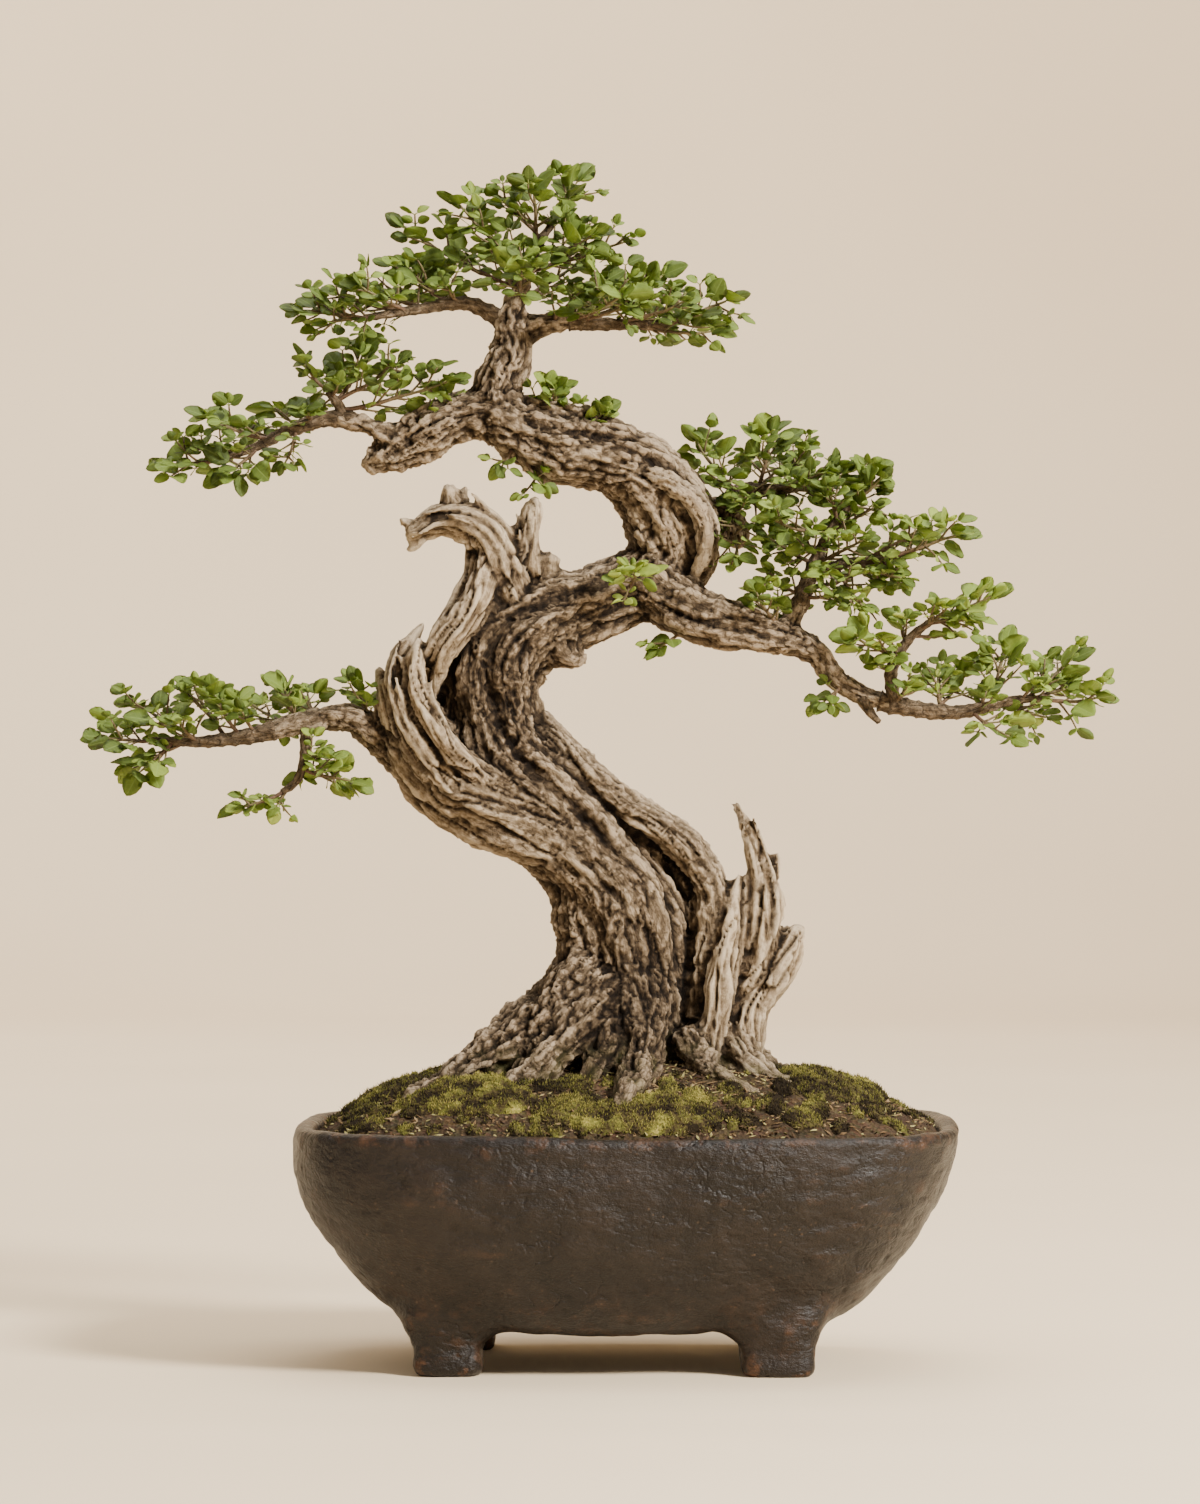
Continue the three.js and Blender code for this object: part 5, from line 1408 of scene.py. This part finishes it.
def make_foliage():
    """The sprays of each bough, those that fill its pad, the trunk's shoots and the sprigs."""
    materials = [leaf_material(), twig_material()]
    index = 0
    for name, bough in BOUGHS.items():
        for k, (place, *tip) in enumerate(bough["sprays"]):
            base = curve_at(bough_axis(name), place)[0]
            spray = Spray(base, seen(tip), SPRAY_SEED + 13 * index, YOUNG.get(name, USUAL_YOUNG))
            spray.finished(f"leafy_{name}_{k + 1}", materials, [f"spray_{name}_{k + 1}"])
            index += 1
    for k, (name, rows) in enumerate(FILLS.items()):
        shape = Shape()
        for j, (place, *tip) in enumerate(rows):
            base = curve_at(bough_axis(name), place)[0]
            seed = FILL_SEED + 97 * k + 13 * j
            spray = Spray(base, seen(tip), seed, YOUNG.get(name, USUAL_YOUNG), shape, FILL_SCALE)
            add_leaves(shape, spray.leaves)
        add_piece(f"leafy_{name}_inner", shape, materials)
    for name, ends in TRUNK_SHOOTS.items():
        young = FRONT_SHOOT_YOUNG if name == "front" else SPRIG_YOUNG
        spray = Spray(*seen(ends), SPRAY_SEED + 13 * index, young, scale=SHOOT_SCALE)
        spray.finished(f"leafy_trunk_{name}", materials, [f"spray_trunk_{name}"])
        index += 1
    for k, (name, ends) in enumerate(SPRIGS.items()):
        spray = Spray(*seen(ends), SPRIG_SEED + 31 * k, SPRIG_YOUNG, scale=SHOOT_SCALE)
        spray.finished(f"sprig_{name}", materials, [])


# Pot

# The bowl's outside as heights and the reach there, as a share of the rim's
BOWL_HEIGHTS = (19.5, 23, 31, 45, 60, 80, 95, 112, 119.5)
BOWL_REACHES = (0.54, 0.66, 0.735, 0.82, 0.893, 0.967, 0.998, 1, 1)
OUTER_RINGS = (21, 24, 28, 33, 40, 50, 62, 74, 86, 97, 106, 113)
LIP = ((117.2, 0.4), (119.2, 1.6), (119.8, 3.6), (119.6, 7), (118.6, 9.6), (116, WALL))  # z, inset
INNER_RINGS = ((38, 2), (55, 0), (78, 0), (100, 0))  # z, inset from the wall
FLOOR_INSET = 5
RIGHT_LEAN = 0.045
LEAN_HEIGHT = 25
# The middle of each foot with its half width and half depth
FEET = [[-88, -54, 16.5, 17], [73, -55, 17.5, 17], [-84, 55, 17, 16], [78, 54, 16.5, 17]]
# A foot's rings: their height, and how much wider and deeper each is
FOOT_RINGS = [[0, -1.2, -1.2], [1.2, 0.6, 0.6], [13, 0.8, 0.4], [19, 3.5, 2], [24, 8, 5], [34, 9, 6]]
FOOT_POWER = 0.42  # below 1 for a foot that is more square than round
ROUND_SIDES = 40
POT_VOXEL = 2.0
POT_TRIANGLES = 80000
# How far round a foot the fillet reaches, over which heights it begins and ends, and how soft it is
FILLET_REACH = 16
FILLET_BEGINS = (11, 19)
FILLET_ENDS = (46, 34)
FILLET_ROUNDS = 34
# The marks of the hand: how wide and how high each is, and its seed
HAND_MARKS = {
    "dent": (55, 42, 51),
    "small_dent": (21, 17, 52),
    "facet": (40, 26, 53),
    "patch": (45, 30, 55),
    "pit": (6, 5, 56),
    "tooled": (9, 6, 59),
}
LIP_HEIGHTS = (112, 118)
WRINKLED_SIDE = -0.75  # the angle at which the pot has most wrinkles, and how far they spread
WRINKLED_SPREAD = 0.42


def bowl_share(z, angle):
    """The bowl's reach at a height as a share of the rim's; the right side slants in a little more."""
    lean = RIGHT_LEAN * np.maximum(0, np.cos(angle)) * np.clip((RIM_Z - z) / LEAN_HEIGHT, 0, 1)
    return np.interp(z, BOWL_HEIGHTS, BOWL_REACHES) - lean


def plan_ring(z, inset, count=160, share=1.0):
    angle = turns(count)
    reach = (plan_reach(angle) * bowl_share(z, angle) - inset) * share
    return around(angle, reach, z) + [POT_CENTRE_X, 0, 0]


def inner_rings(gap=0, count=160):
    """The bowl's inside from the middle of its floor up, drawn in by a gap."""
    reach = WALL + FLOOR_INSET + gap
    floor = [plan_ring(FLOOR_TOP_Z, reach, count, share) + [0, 0, gap] for share in (0.4, 1.0)]
    return floor + [plan_ring(z, WALL + inset + gap, count) for z, inset in INNER_RINGS]


def bowl_shape():
    """The bowl's wall as one closed skin: up the outside, over the lip and down to the inner floor."""
    rings = [plan_ring(BOWL_BOTTOM_Z, 0, share=0.3), plan_ring(BOWL_BOTTOM_Z, 2)]
    rings += [plan_ring(z, 0) for z in OUTER_RINGS] + [plan_ring(*place) for place in LIP]
    rings += inner_rings()[::-1]
    shape = Shape()
    ends = [[POT_CENTRE_X, 0, BOWL_BOTTOM_Z], [POT_CENTRE_X, 0, FLOOR_TOP_Z]]
    shape.add_closed(np.vstack(rings + [ends]), len(rings[0]))
    return shape


def drain_shape():
    """Two round posts where the floor's drain holes are."""
    shape = Shape()
    low, high = np.array([[0, 0, 10], [0, 0, 40]])
    for side in (-1, 1):
        centre = np.array([POT_CENTRE_X + side * DRAIN_X, 0, 0])
        ring = around(turns(ROUND_SIDES), DRAIN_RADIUS) + centre
        shape.add_closed(np.vstack([ring + low, ring + high, centre + low, centre + high]), ROUND_SIDES)
    return shape


def foot_shape(x, y, half_width, half_depth):
    """A foot: a soft block that widens upwards into the bowl."""
    x = POT_CENTRE_X + x
    angle = turns(ROUND_SIDES)
    u, v = (np.sign(c) * np.abs(c) ** FOOT_POWER for c in (np.cos(angle), np.sin(angle)))
    rings = []
    for z, wider, deeper in FOOT_RINGS:
        rings.append(np.stack([x + u * (half_width + wider), y + v * (half_depth + deeper), 0 * u + z], 1))
    shape = Shape()
    shape.add_closed(np.vstack(rings + [[[x, y, 0], [x, y, FOOT_RINGS[-1][0]]]]), ROUND_SIDES)
    return shape


def make_pot(material):
    """The hand-formed bowl with its drain holes and feet, with the marks of the hand all over."""
    bowl = add_object("bowl", bowl_shape().mesh("bowl"))
    drains = add_object("drains", drain_shape().mesh("drains"))
    cut = bowl.modifiers.new("cut", "BOOLEAN")
    cut.object = drains
    cut.operation = "DIFFERENCE"
    cut.solver = "EXACT"
    bpy.context.view_layer.update()
    joined = bmesh.new()
    joined.from_mesh(bpy.data.meshes.new_from_object(evaluated(bowl)))
    for foot in FEET:
        joined.from_mesh(foot_shape(*foot).mesh("foot"))
    whole = bpy.data.meshes.new("pot_parts")
    joined.to_mesh(whole)
    joined.free()
    for thing in (bowl, drains):
        bpy.data.objects.remove(thing)
    points, faces = remeshed(whole, POT_VOXEL)
    edges = edges_of(faces)
    points = with_fillets(relaxed(points, edges, 2), edges)
    points, values = hand_formed(points, faces, edges)
    skin = Shape()
    skin.add(points, faces, **values)
    add_piece("stoneware_pot", skin, [material], ["pot"], POT_TRIANGLES)


def with_fillets(points, edges):
    """The feet smoothed into the bowl where they meet it."""
    x, y, z = points.T
    near = np.zeros(len(points))
    for foot_x, foot_y, half_width, half_depth in FEET:
        across = np.abs(x - POT_CENTRE_X - foot_x) / (half_width + FILLET_REACH)
        along = np.abs(y - foot_y) / (half_depth + FILLET_REACH)
        near = np.maximum(near, smooth_step(1.1, 0.7, np.maximum(across, along)))
    near = near * smooth_step(*FILLET_BEGINS, z) * smooth_step(*FILLET_ENDS, z)
    return points + near[:, None] * (relaxed(points, edges, FILLET_ROUNDS) - points)


def hand_formed(points, faces, edges):
    """Dents, tooled wrinkles and a wavy lip, and how worn each place is."""
    x, y, z = points.T

    def mark(name):
        width, height, seed = HAND_MARKS[name]
        return noise(x / width, y / width, z / height, seed)

    angle = np.arctan2(y, x - POT_CENTRE_X)
    round_way = angle * 150
    reach = plan_reach(angle) * bowl_share(z, angle)
    depth = reach - np.hypot(x - POT_CENTRE_X, y)
    outside = np.where(z > FLOOR_TOP_Z - 4, smooth_step(WALL - 1, WALL - 5, depth), 1.0)
    dents = 1.6 * mark("dent") + 0.9 * mark("small_dent")
    facets = 0.55 * (valleys(mark("facet")) - 0.6)
    wrinkles = noise(round_way / 15, z / 3.4 + 0.6 * noise(round_way / 30, z / 20, 0.5, 58), 0.5, 54)
    upper_right = np.exp(-(((angle - WRINKLED_SIDE) / WRINKLED_SPREAD) ** 2)) * smooth_step(55, 85, z)
    patches = smooth_step(0.0, 0.5, mark("patch"))
    tooled = 0.75 * wrinkles * np.clip(0.25 + upper_right + 0.5 * patches, 0, 1.2)
    tooled = tooled + 0.35 * mark("tooled")
    pits = -0.8 * smooth_step(0.4, 0.8, mark("pit"))
    lip = smooth_step(*LIP_HEIGHTS, z)
    height = outside * (dents + facets + tooled + pits) * (1 - 0.65 * lip)
    points = points + normals_of(points, faces) * height[:, None]
    wave = 0.75 * np.sin(2 * angle + 0.4) + 0.5 * np.sin(5 * angle) + 0.4 * noise(x / 14, y / 14, 0.5, 57)
    points[:, 2] = np.maximum(points[:, 2] + lip * wave, 0)
    worn = np.clip(-hollowness(points, faces, edges, 10) / 0.8, -1, 1)
    return points, {"worn": worn}


def pot_material():
    """Dark umber stoneware with a faint sheen, rusty where the clay shows at edges."""
    n = Nodes("dark_stoneware")
    place = n.place()
    cloud = n.noise(place, 16.0, 5.0, 0.6)
    fine = n.noise(place, 160.0, 6.0, 0.65)
    grain = n.noise(place, 900.0, 3.0, 0.6)
    streaks = n.noise(n.scaled(place, (1, 1, 1.7)), 60.0, 6.0, 0.66)
    tone = n.total((cloud, 0.5), (streaks, 0.5))
    body = n.ramp(tone, [
        (0.30, (0.0030, 0.0020, 0.0015)),
        (0.48, (0.0088, 0.0058, 0.0042)),
        (0.62, (0.0182, 0.0118, 0.0082)),
        (0.80, (0.0400, 0.0248, 0.0168)),
    ])
    height = n.axes(place)[2]
    low = n.spread(height, 0.050, 0.018)
    foot = n.spread(height, 0.012, 0.0)
    rust_noise = n.spread(n.noise(place, 85.0, 6.0, 0.7), 0.50, 0.66)
    worn = n.spread(n.attribute("worn"), 0.3, 0.95)
    rust = n.times(rust_noise, n.total((worn, 0.8), (low, 0.45)))
    rust = n.plus(rust, n.times(foot, n.times(rust_noise, 0.7)), True)
    colour = n.mix(rust, body, (0.085, 0.040, 0.020))
    specks = n.spread(n.cells(place, 260.0), 0.10, 0.22, 1.0, 0.0)
    colour = n.mix(n.times(specks, n.times(rust_noise, 0.35)), colour, (0.20, 0.12, 0.07))
    roughness = n.spread(n.total((cloud, 0.6), (fine, 0.4)), 0.35, 0.65, 0.30, 0.52)
    scored = n.math("ABSOLUTE", n.minus(n.noise(place, 42.0, 3.0, 0.6), 0.5))
    scored = n.times(n.spread(scored, 0.0, 0.035), n.spread(cloud, 0.42, 0.6, 1.0, 0.3))
    dimples = n.bump(scored, 0.5, 0.9, n.bump(fine, 0.45, 1.3))
    hand = n.bump(streaks, 0.8, 4.0, dimples)
    normal = n.bump(grain, 0.4, 0.4, hand)
    return n.finish(colour, roughness, normal, 0.34)


# Soil, litter and moss

MOSS = {
    # x and y of the middle, half length, half width, turn in degrees, height, greenness
    "moss_left": (-98, 0, 36, 29, 72, 5.5, 0.45),
    "moss_front_left": (-66, -66, 36, 18, -14, 5.5, 0.66),
    "moss_front": (22, -87, 38, 13, 2, 5, 0.78),
    "moss_right": (117, -8, 54, 26, 76, 6, 0.42),
    "moss_back": (8, 84, 58, 16, -3, 5.5, 0.55),
}
LITTER_COUNT = 6200
SATELLITES = 22  # small patches round each cushion
CRUMBS = 250  # tiny tufts all over the soil
TUFTS_PER_AREA = 1.05  # moss leaves on each square millimetre
LITTER_SEED = 77
MOSS_SEED = 500
CRUMB_SEED = 611
SOIL_SIDES = 200
FULL_HEIGHT = 5  # a lower cushion is less lumpy
SUNK = 5  # how far a cushion goes on below the soil's top
SATELLITE_HEIGHT = 2.2
SMALLEST_SATELLITE = 2.5
CRUMB_HEIGHT = 1.6
TUFT_RADIUS = 0.34
TUFT_TALL = (0.9, 2.3)
BIT_SIZES = ((0.8, 3.0), (0.45, 1.0), (0.3, 0.7))  # the least and most length, width and thickness
TUFT_TONES = 0.36  # how far a tuft may be lighter or darker than its cushion


def soil_material():
    n = Nodes("potting_soil")
    place = n.place()
    crumbs = n.cells(place, 420.0, "Color")
    edges = n.cells(place, 420.0, "Distance")
    tone = n.total((n.noise(place, 900.0, 4.0), 0.5), (n.noise(place, 60.0), 0.5))
    body = n.ramp(tone, [
        (0.30, (0.013, 0.008, 0.005)),
        (0.52, (0.060, 0.039, 0.021)),
        (0.78, (0.160, 0.112, 0.058)),
    ])
    colour = n.mix(0.25, body, n.mix(1.0, body, crumbs, "MULTIPLY"))
    normal = n.bump(edges, 0.9, 1.4, n.bump(tone, 0.7, 1.0))
    return n.finish(colour, 0.95, normal, 0.15)


def litter_material():
    """Dry bits of bark, twig and dead moss, each of its own brown."""
    n = Nodes("dry_litter")
    tone = n.plus(n.attribute("tone"), n.times(n.noise(n.place(), 800.0), 0.3))
    colour = n.ramp(tone, [
        (0.15, (0.018, 0.010, 0.006)),
        (0.45, (0.070, 0.042, 0.022)),
        (0.70, (0.165, 0.100, 0.048)),
        (0.95, (0.270, 0.190, 0.098)),
        (1.15, (0.310, 0.270, 0.110)),
    ])
    return n.finish(colour, 0.9, n.bump(n.noise(n.place(), 1500.0), 0.6, 0.4), 0.2)


def moss_material():
    n = Nodes("moss")
    patches = n.noise(n.place(), 75.0, 4.0, 0.6)
    fine = n.noise(n.place(), 900.0, 3.0, 0.6)
    tone = n.plus(n.attribute("tone"), n.centred(patches, 2.5))
    colour = n.ramp(n.plus(tone, n.centred(fine, 1.1)), [
        (0.02, (0.014, 0.009, 0.004)),
        (0.25, (0.060, 0.044, 0.016)),
        (0.48, (0.084, 0.082, 0.018)),
        (0.72, (0.168, 0.158, 0.031)),
        (1.00, (0.330, 0.275, 0.075)),
    ])
    return n.finish(colour, 0.92, n.bump(fine, 0.8, 0.8), 0.15)


def make_soil(soil, litter):
    """The fill of the pot, crumbly on top, and the litter that lies on it."""
    rings = inner_rings(SOIL_GAP, SOIL_SIDES)
    edge = plan_ring(SOIL_EDGE_Z, WALL + SOIL_GAP, SOIL_SIDES)
    for share in np.concatenate([[1.0, 0.985], np.linspace(0.96, 0.03, 62)]):
        x = POT_CENTRE_X + (edge[:, 0] - POT_CENTRE_X) * share
        y = edge[:, 1] * share
        crumbs = 1.1 * noise(x / 7, y / 7, 0.5, 61) + 0.8 * noise(x / 2.6, y / 2.6, 0.5, 62)
        z = soil_top(x, y) + (crumbs if share < 0.99 else -1.5)
        rings.append(np.stack([x, y, z], 1))
    ends = [[POT_CENTRE_X, 0, FLOOR_TOP_Z + SOIL_GAP], [POT_CENTRE_X, 0, float(soil_top(POT_CENTRE_X, 0))]]
    shape = Shape()
    shape.add_closed(np.vstack(rings + [ends]), SOIL_SIDES)
    add_piece("crumbly_soil", shape, [soil], ["soil"])
    rng = np.random.default_rng(LITTER_SEED)
    angle = rng.uniform(-math.pi, math.pi, LITTER_COUNT)
    share = np.sqrt(rng.uniform(0.03, 0.985, LITTER_COUNT))
    x, y, _ = around(angle, (plan_reach(angle) - WALL - 1.6) * share).T + [[POT_CENTRE_X], [0], [0]]
    bits = Shape()
    add_bits(bits, x, y, soil_top(x, y) + 0.5, rng)
    add_piece("litter", bits, [litter], ["soil"], smooth=False)


def rotations(rng, count):
    """Random rotation matrices."""
    w, x, y, z = unit(rng.normal(size=(count, 4))).T
    rows = np.array([
        [1 - 2 * (y * y + z * z), 2 * (x * y - z * w), 2 * (x * z + y * w)],
        [2 * (x * y + z * w), 1 - 2 * (x * x + z * z), 2 * (y * z - x * w)],
        [2 * (x * z - y * w), 2 * (y * z + x * w), 1 - 2 * (x * x + y * y)],
    ])
    return rows.transpose(2, 0, 1)


def add_bits(shape, x, y, z, rng):
    """Small crooked bits, one at each place."""
    count = len(x)
    corners = np.array([[1, 0, 0], [-1, 0, 0], [0, 1, 0], [0, -1, 0], [0, 0, 1], [0, 0, -1.0]])
    faces = np.array([[0, 2, 4], [2, 1, 4], [1, 3, 4], [3, 0, 4], [2, 0, 5], [1, 2, 5], [3, 1, 5], [0, 3, 5]])
    whole = rng.uniform(0.6, 1.5, (count, 1))
    size = [rng.uniform(low, high, count) for low, high in BIT_SIZES]
    bits = corners[None] * (whole * np.stack(size, 1))[:, None] * rng.uniform(0.7, 1.25, (count, 6, 1))
    bits = np.einsum("nij,nkj->nki", rotations(rng, count), bits)
    bits[..., 2] *= 0.6
    points = bits + np.stack([x, y, z], 1)[:, None]
    tone = np.repeat(rng.uniform(0.1, 1.05, count) ** 1.2, 6)
    shape.add(points.reshape(-1, 3), repeated(faces, 6, count), tone=tone)


def moss_edge(way, x, y):
    """How far a cushion's edge lies out of its round plan."""
    lobes = 0.09 * np.sin(3 * way + x) + 0.06 * np.sin(5 * way + y)
    ragged = 0.12 * noise(2.2 * np.cos(way) + x, 2.2 * np.sin(way) + y, 0.5, 71)
    return 1 + lobes + ragged + 0.10 * noise(6 * np.cos(way) + x, 6 * np.sin(way) + y, 0.5, 74)


def cushion_height(share, height):
    return height * np.interp(share, [0, 0.35, 0.8, 0.93, 1.0], [1.15, 1.1, 0.75, 0.45, 0.0])


def from_cushion(x, y, turn, u, v):
    """Where u and v along and across a cushion are in the pot."""
    angle = math.radians(turn)
    return x + u * math.cos(angle) - v * math.sin(angle), y + u * math.sin(angle) + v * math.cos(angle)


def add_cushion(shape, x, y, a, b, turn, height, green, rng):
    """A moss cushion: a lumpy dome on the soil with its tiny leaves standing on it."""
    rings, sides = (16, 72) if a > 20 else (5, 20) if a > 6 else (3, 12)

    def place(share, way):
        reach = share * moss_edge(way, x, y)
        px, py = from_cushion(x, y, turn, np.cos(way) * a * reach, np.sin(way) * b * reach)
        lumps = 2.6 * noise(px / 9, py / 9, 0.5, 72) + 1.8 * noise(px / 3.6, py / 3.6, 0.5, 73)
        lumps = lumps * min(1, height / FULL_HEIGHT)
        pz = soil_top(px, py) + cushion_height(share, height) + lumps * smooth_step(1.0, 0.7, share)
        return np.stack([px, py, pz], -1), lumps

    shares = np.linspace(1, 0.04, rings)
    rows, hollows = zip(*[place(np.full(sides, share), turns(sides)) for share in shares])
    under = rows[0] - [0, 0, SUNK]
    top, top_lump = place(np.zeros(1), np.zeros(1))
    points = np.vstack([under, *rows, under.mean(0, keepdims=True), top])
    lumps = np.concatenate([np.full(sides, -1), *hollows, [-1], top_lump])
    shape.add_closed(points, sides, tone=green * 0.55 + 0.16 * lumps - 0.1)
    count = int(math.pi * a * b * TUFTS_PER_AREA)
    share = np.sqrt(rng.uniform(0, 1.05, count))
    root, lumps = place(share, rng.uniform(-math.pi, math.pi, count))
    root[:, 2] = np.where(share > 1, soil_top(root[:, 0], root[:, 1]) + 0.3, root[:, 2] - 0.25)
    tall = rng.uniform(*TUFT_TALL, count)
    lean = rng.normal(0, 0.38, (count, 2)) * tall[:, None]
    spin = rng.uniform(0, 2 * math.pi, count)
    foot = [root + around(spin + k * 2 * math.pi / 3, TUFT_RADIUS) for k in range(3)]
    leaves = np.stack(foot + [root + np.column_stack([lean, tall])], 1)
    faces = np.array([[0, 1, 3], [1, 2, 3], [2, 0, 3], [0, 2, 1]])
    tone = green + 0.14 * lumps + rng.uniform(-TUFT_TONES, TUFT_TONES, count)
    tones = np.stack([tone - 0.28] * 3 + [tone + 0.12], 1)
    shape.add(leaves.reshape(-1, 3), repeated(faces, 4, count), tone=tones.ravel())


def make_moss(material):
    """Each cushion with the small satellites that grow round it."""
    for k, (name, (x, y, a, b, turn, height, green)) in enumerate(MOSS.items()):
        rng = np.random.default_rng(MOSS_SEED + k)
        shape = Shape()
        add_cushion(shape, x, y, a, b, turn, height, green, rng)
        for _ in range(SATELLITES):
            way, out = rng.uniform(-math.pi, math.pi), rng.uniform(1.0, 2.0)
            px, py = from_cushion(x, y, turn, math.cos(way) * (a + 4) * out, math.sin(way) * (b + 4) * out)
            room = plan_reach(math.atan2(py, px - POT_CENTRE_X)) - WALL - math.hypot(px - POT_CENTRE_X, py)
            size = min(rng.uniform(4, 11), room - 1)
            if size > SMALLEST_SATELLITE:
                spin, tone = rng.uniform(0, 180), green + rng.uniform(-0.5, 0.15)
                add_cushion(shape, px, py, size, size * 0.7, spin, SATELLITE_HEIGHT, tone, rng)
        add_piece(name.replace("moss_", "mossy_"), shape, [material], [name])


def make_moss_crumbs(material):
    """Tiny tufts of green and of dead moss, scattered over the soil."""
    rng = np.random.default_rng(CRUMB_SEED)
    shape = Shape()
    for _ in range(CRUMBS):
        angle = rng.uniform(-math.pi, math.pi)
        reach = (plan_reach(angle) - WALL - 7) * math.sqrt(rng.uniform(0.05, 1))
        x, y = POT_CENTRE_X + reach * math.cos(angle), reach * math.sin(angle)
        size = rng.uniform(2.4, 6.6)
        width, spin, green = size * rng.uniform(0.5, 0.9), rng.uniform(0, 180), rng.uniform(-0.15, 0.7)
        add_cushion(shape, x, y, size, width, spin, CRUMB_HEIGHT, green, rng)
    add_piece("mossy_crumbs", shape, [material])


def screen_material():
    """Moulded plastic drain screens."""
    n = Nodes("drain_screen_plastic")
    rough = n.noise(n.place(), 300.0, 4.0)
    colour = n.ramp(rough, [(0.3, (0.012, 0.012, 0.011)), (0.7, (0.035, 0.034, 0.031))])
    return n.finish(colour, n.spread(rough, 0.3, 0.7, 0.45, 0.65), n.bump(rough, 0.3, 0.2), 0.4)


# Stage

SHEET_HALF_WIDTH = 12000
SHEET_FRONT = -12000.0
SHEET_WALL = 4400  # where the sheet has turned up to a wall behind the plant
SHEET_CURVE = 1100
SHEET_HEIGHT = 6500
# Each soft light's place and what it points at in metres, its size, its power and its colour
LIGHTS = {
    "key": ((1.8, -1.6, 1.7), (0, 0, 0.25), (0.6, 0.6), 196, (1.0, 0.955, 0.89)),
    "fill": ((-2.2, -1.8, 1.2), (0, 0, 0.25), (2.0, 2.0), 3, (1.0, 0.95, 0.89)),
    "top": ((0.2, 0.3, 2.4), (0, 0, 0.2), (1.8, 1.8), 46, (1.0, 0.96, 0.90)),
    "sheet": ((-1.0, 1.9, 3.0), (-0.6, 4.2, 0.9), (3.2, 1.2), 146, (1.0, 0.95, 0.89)),
}
SKY_COLOUR = (1.0, 0.93, 0.84, 1)
SKY_STRENGTH = 0.42
SENSOR = 36
FOCAL_LENGTH = 119.7
FARTHEST = 30


def make_stage():
    """A plain pale sheet that runs from the floor up the wall."""
    profile = [(SHEET_FRONT, 0.0), (0.0, 0.0), (SHEET_WALL - SHEET_CURVE, 0.0)]
    for t in np.linspace(0.1, math.pi / 2, 14):
        y = SHEET_WALL - SHEET_CURVE + SHEET_CURVE * math.sin(t)
        profile.append((y, SHEET_CURVE - SHEET_CURVE * math.cos(t)))
    profile.append((SHEET_WALL, SHEET_HEIGHT))
    points = [[side * SHEET_HALF_WIDTH, y, z] for y, z in profile for side in (-1, 1)]
    faces = [[2 * k, 2 * k + 1, 2 * k + 3, 2 * k + 2] for k in range(len(profile) - 1)]
    shape = Shape()
    shape.add(points, faces)
    sheet = add_object("studio_sheet", shape.mesh("studio_sheet"))
    sheet.data.polygons.foreach_set("use_smooth", np.full(len(sheet.data.polygons), True))
    n = Nodes("beige_paper")
    tone = n.noise(n.place(), 2.0, 2.0)
    n.finish(n.ramp(tone, [(0.3, (0.830, 0.680, 0.480)), (0.7, (0.860, 0.710, 0.505))]), 0.95, None, 0.1)
    sheet.data.materials.append(n.material)


def make_light_and_camera():
    """Soft studio light, and a camera straight in front at the height of the plant's middle."""
    for name, (place, target, size, power, colour) in LIGHTS.items():
        light = bpy.data.lights.new(name, "AREA")
        light.shape = "RECTANGLE"
        light.size, light.size_y = size
        light.energy = power
        light.color = colour
        thing = add_object(name, light)
        thing.location = place
        thing.rotation_euler = (Vector(target) - Vector(place)).to_track_quat("-Z", "Y").to_euler()
    world = bpy.data.worlds.new("studio")
    bpy.context.scene.world = world
    world.use_nodes = True
    background = world.node_tree.nodes["Background"]
    background.inputs[0].default_value = SKY_COLOUR
    background.inputs[1].default_value = SKY_STRENGTH
    lens = bpy.data.cameras.new("camera")
    lens.sensor_fit = "VERTICAL"
    lens.sensor_width = lens.sensor_height = SENSOR
    lens.lens = FOCAL_LENGTH
    lens.clip_end = FARTHEST
    camera = add_object("camera", lens)
    camera.location = (0, -EYE_DISTANCE * MM, EYE_HEIGHT * MM)
    camera.rotation_euler = (math.pi / 2, 0, 0)
    bpy.context.scene.camera = camera


make_light_and_camera()
make_stage()
make_wood(wood_material())
make_foliage()
make_pot(pot_material())
make_soil(soil_material(), litter_material())
moss = moss_material()
make_moss(moss)
make_moss_crumbs(moss)
for screen in ("drain_screen_left", "drain_screen_right"):
    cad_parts[screen].data.materials.clear()
    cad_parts[screen].data.materials.append(screen_material())
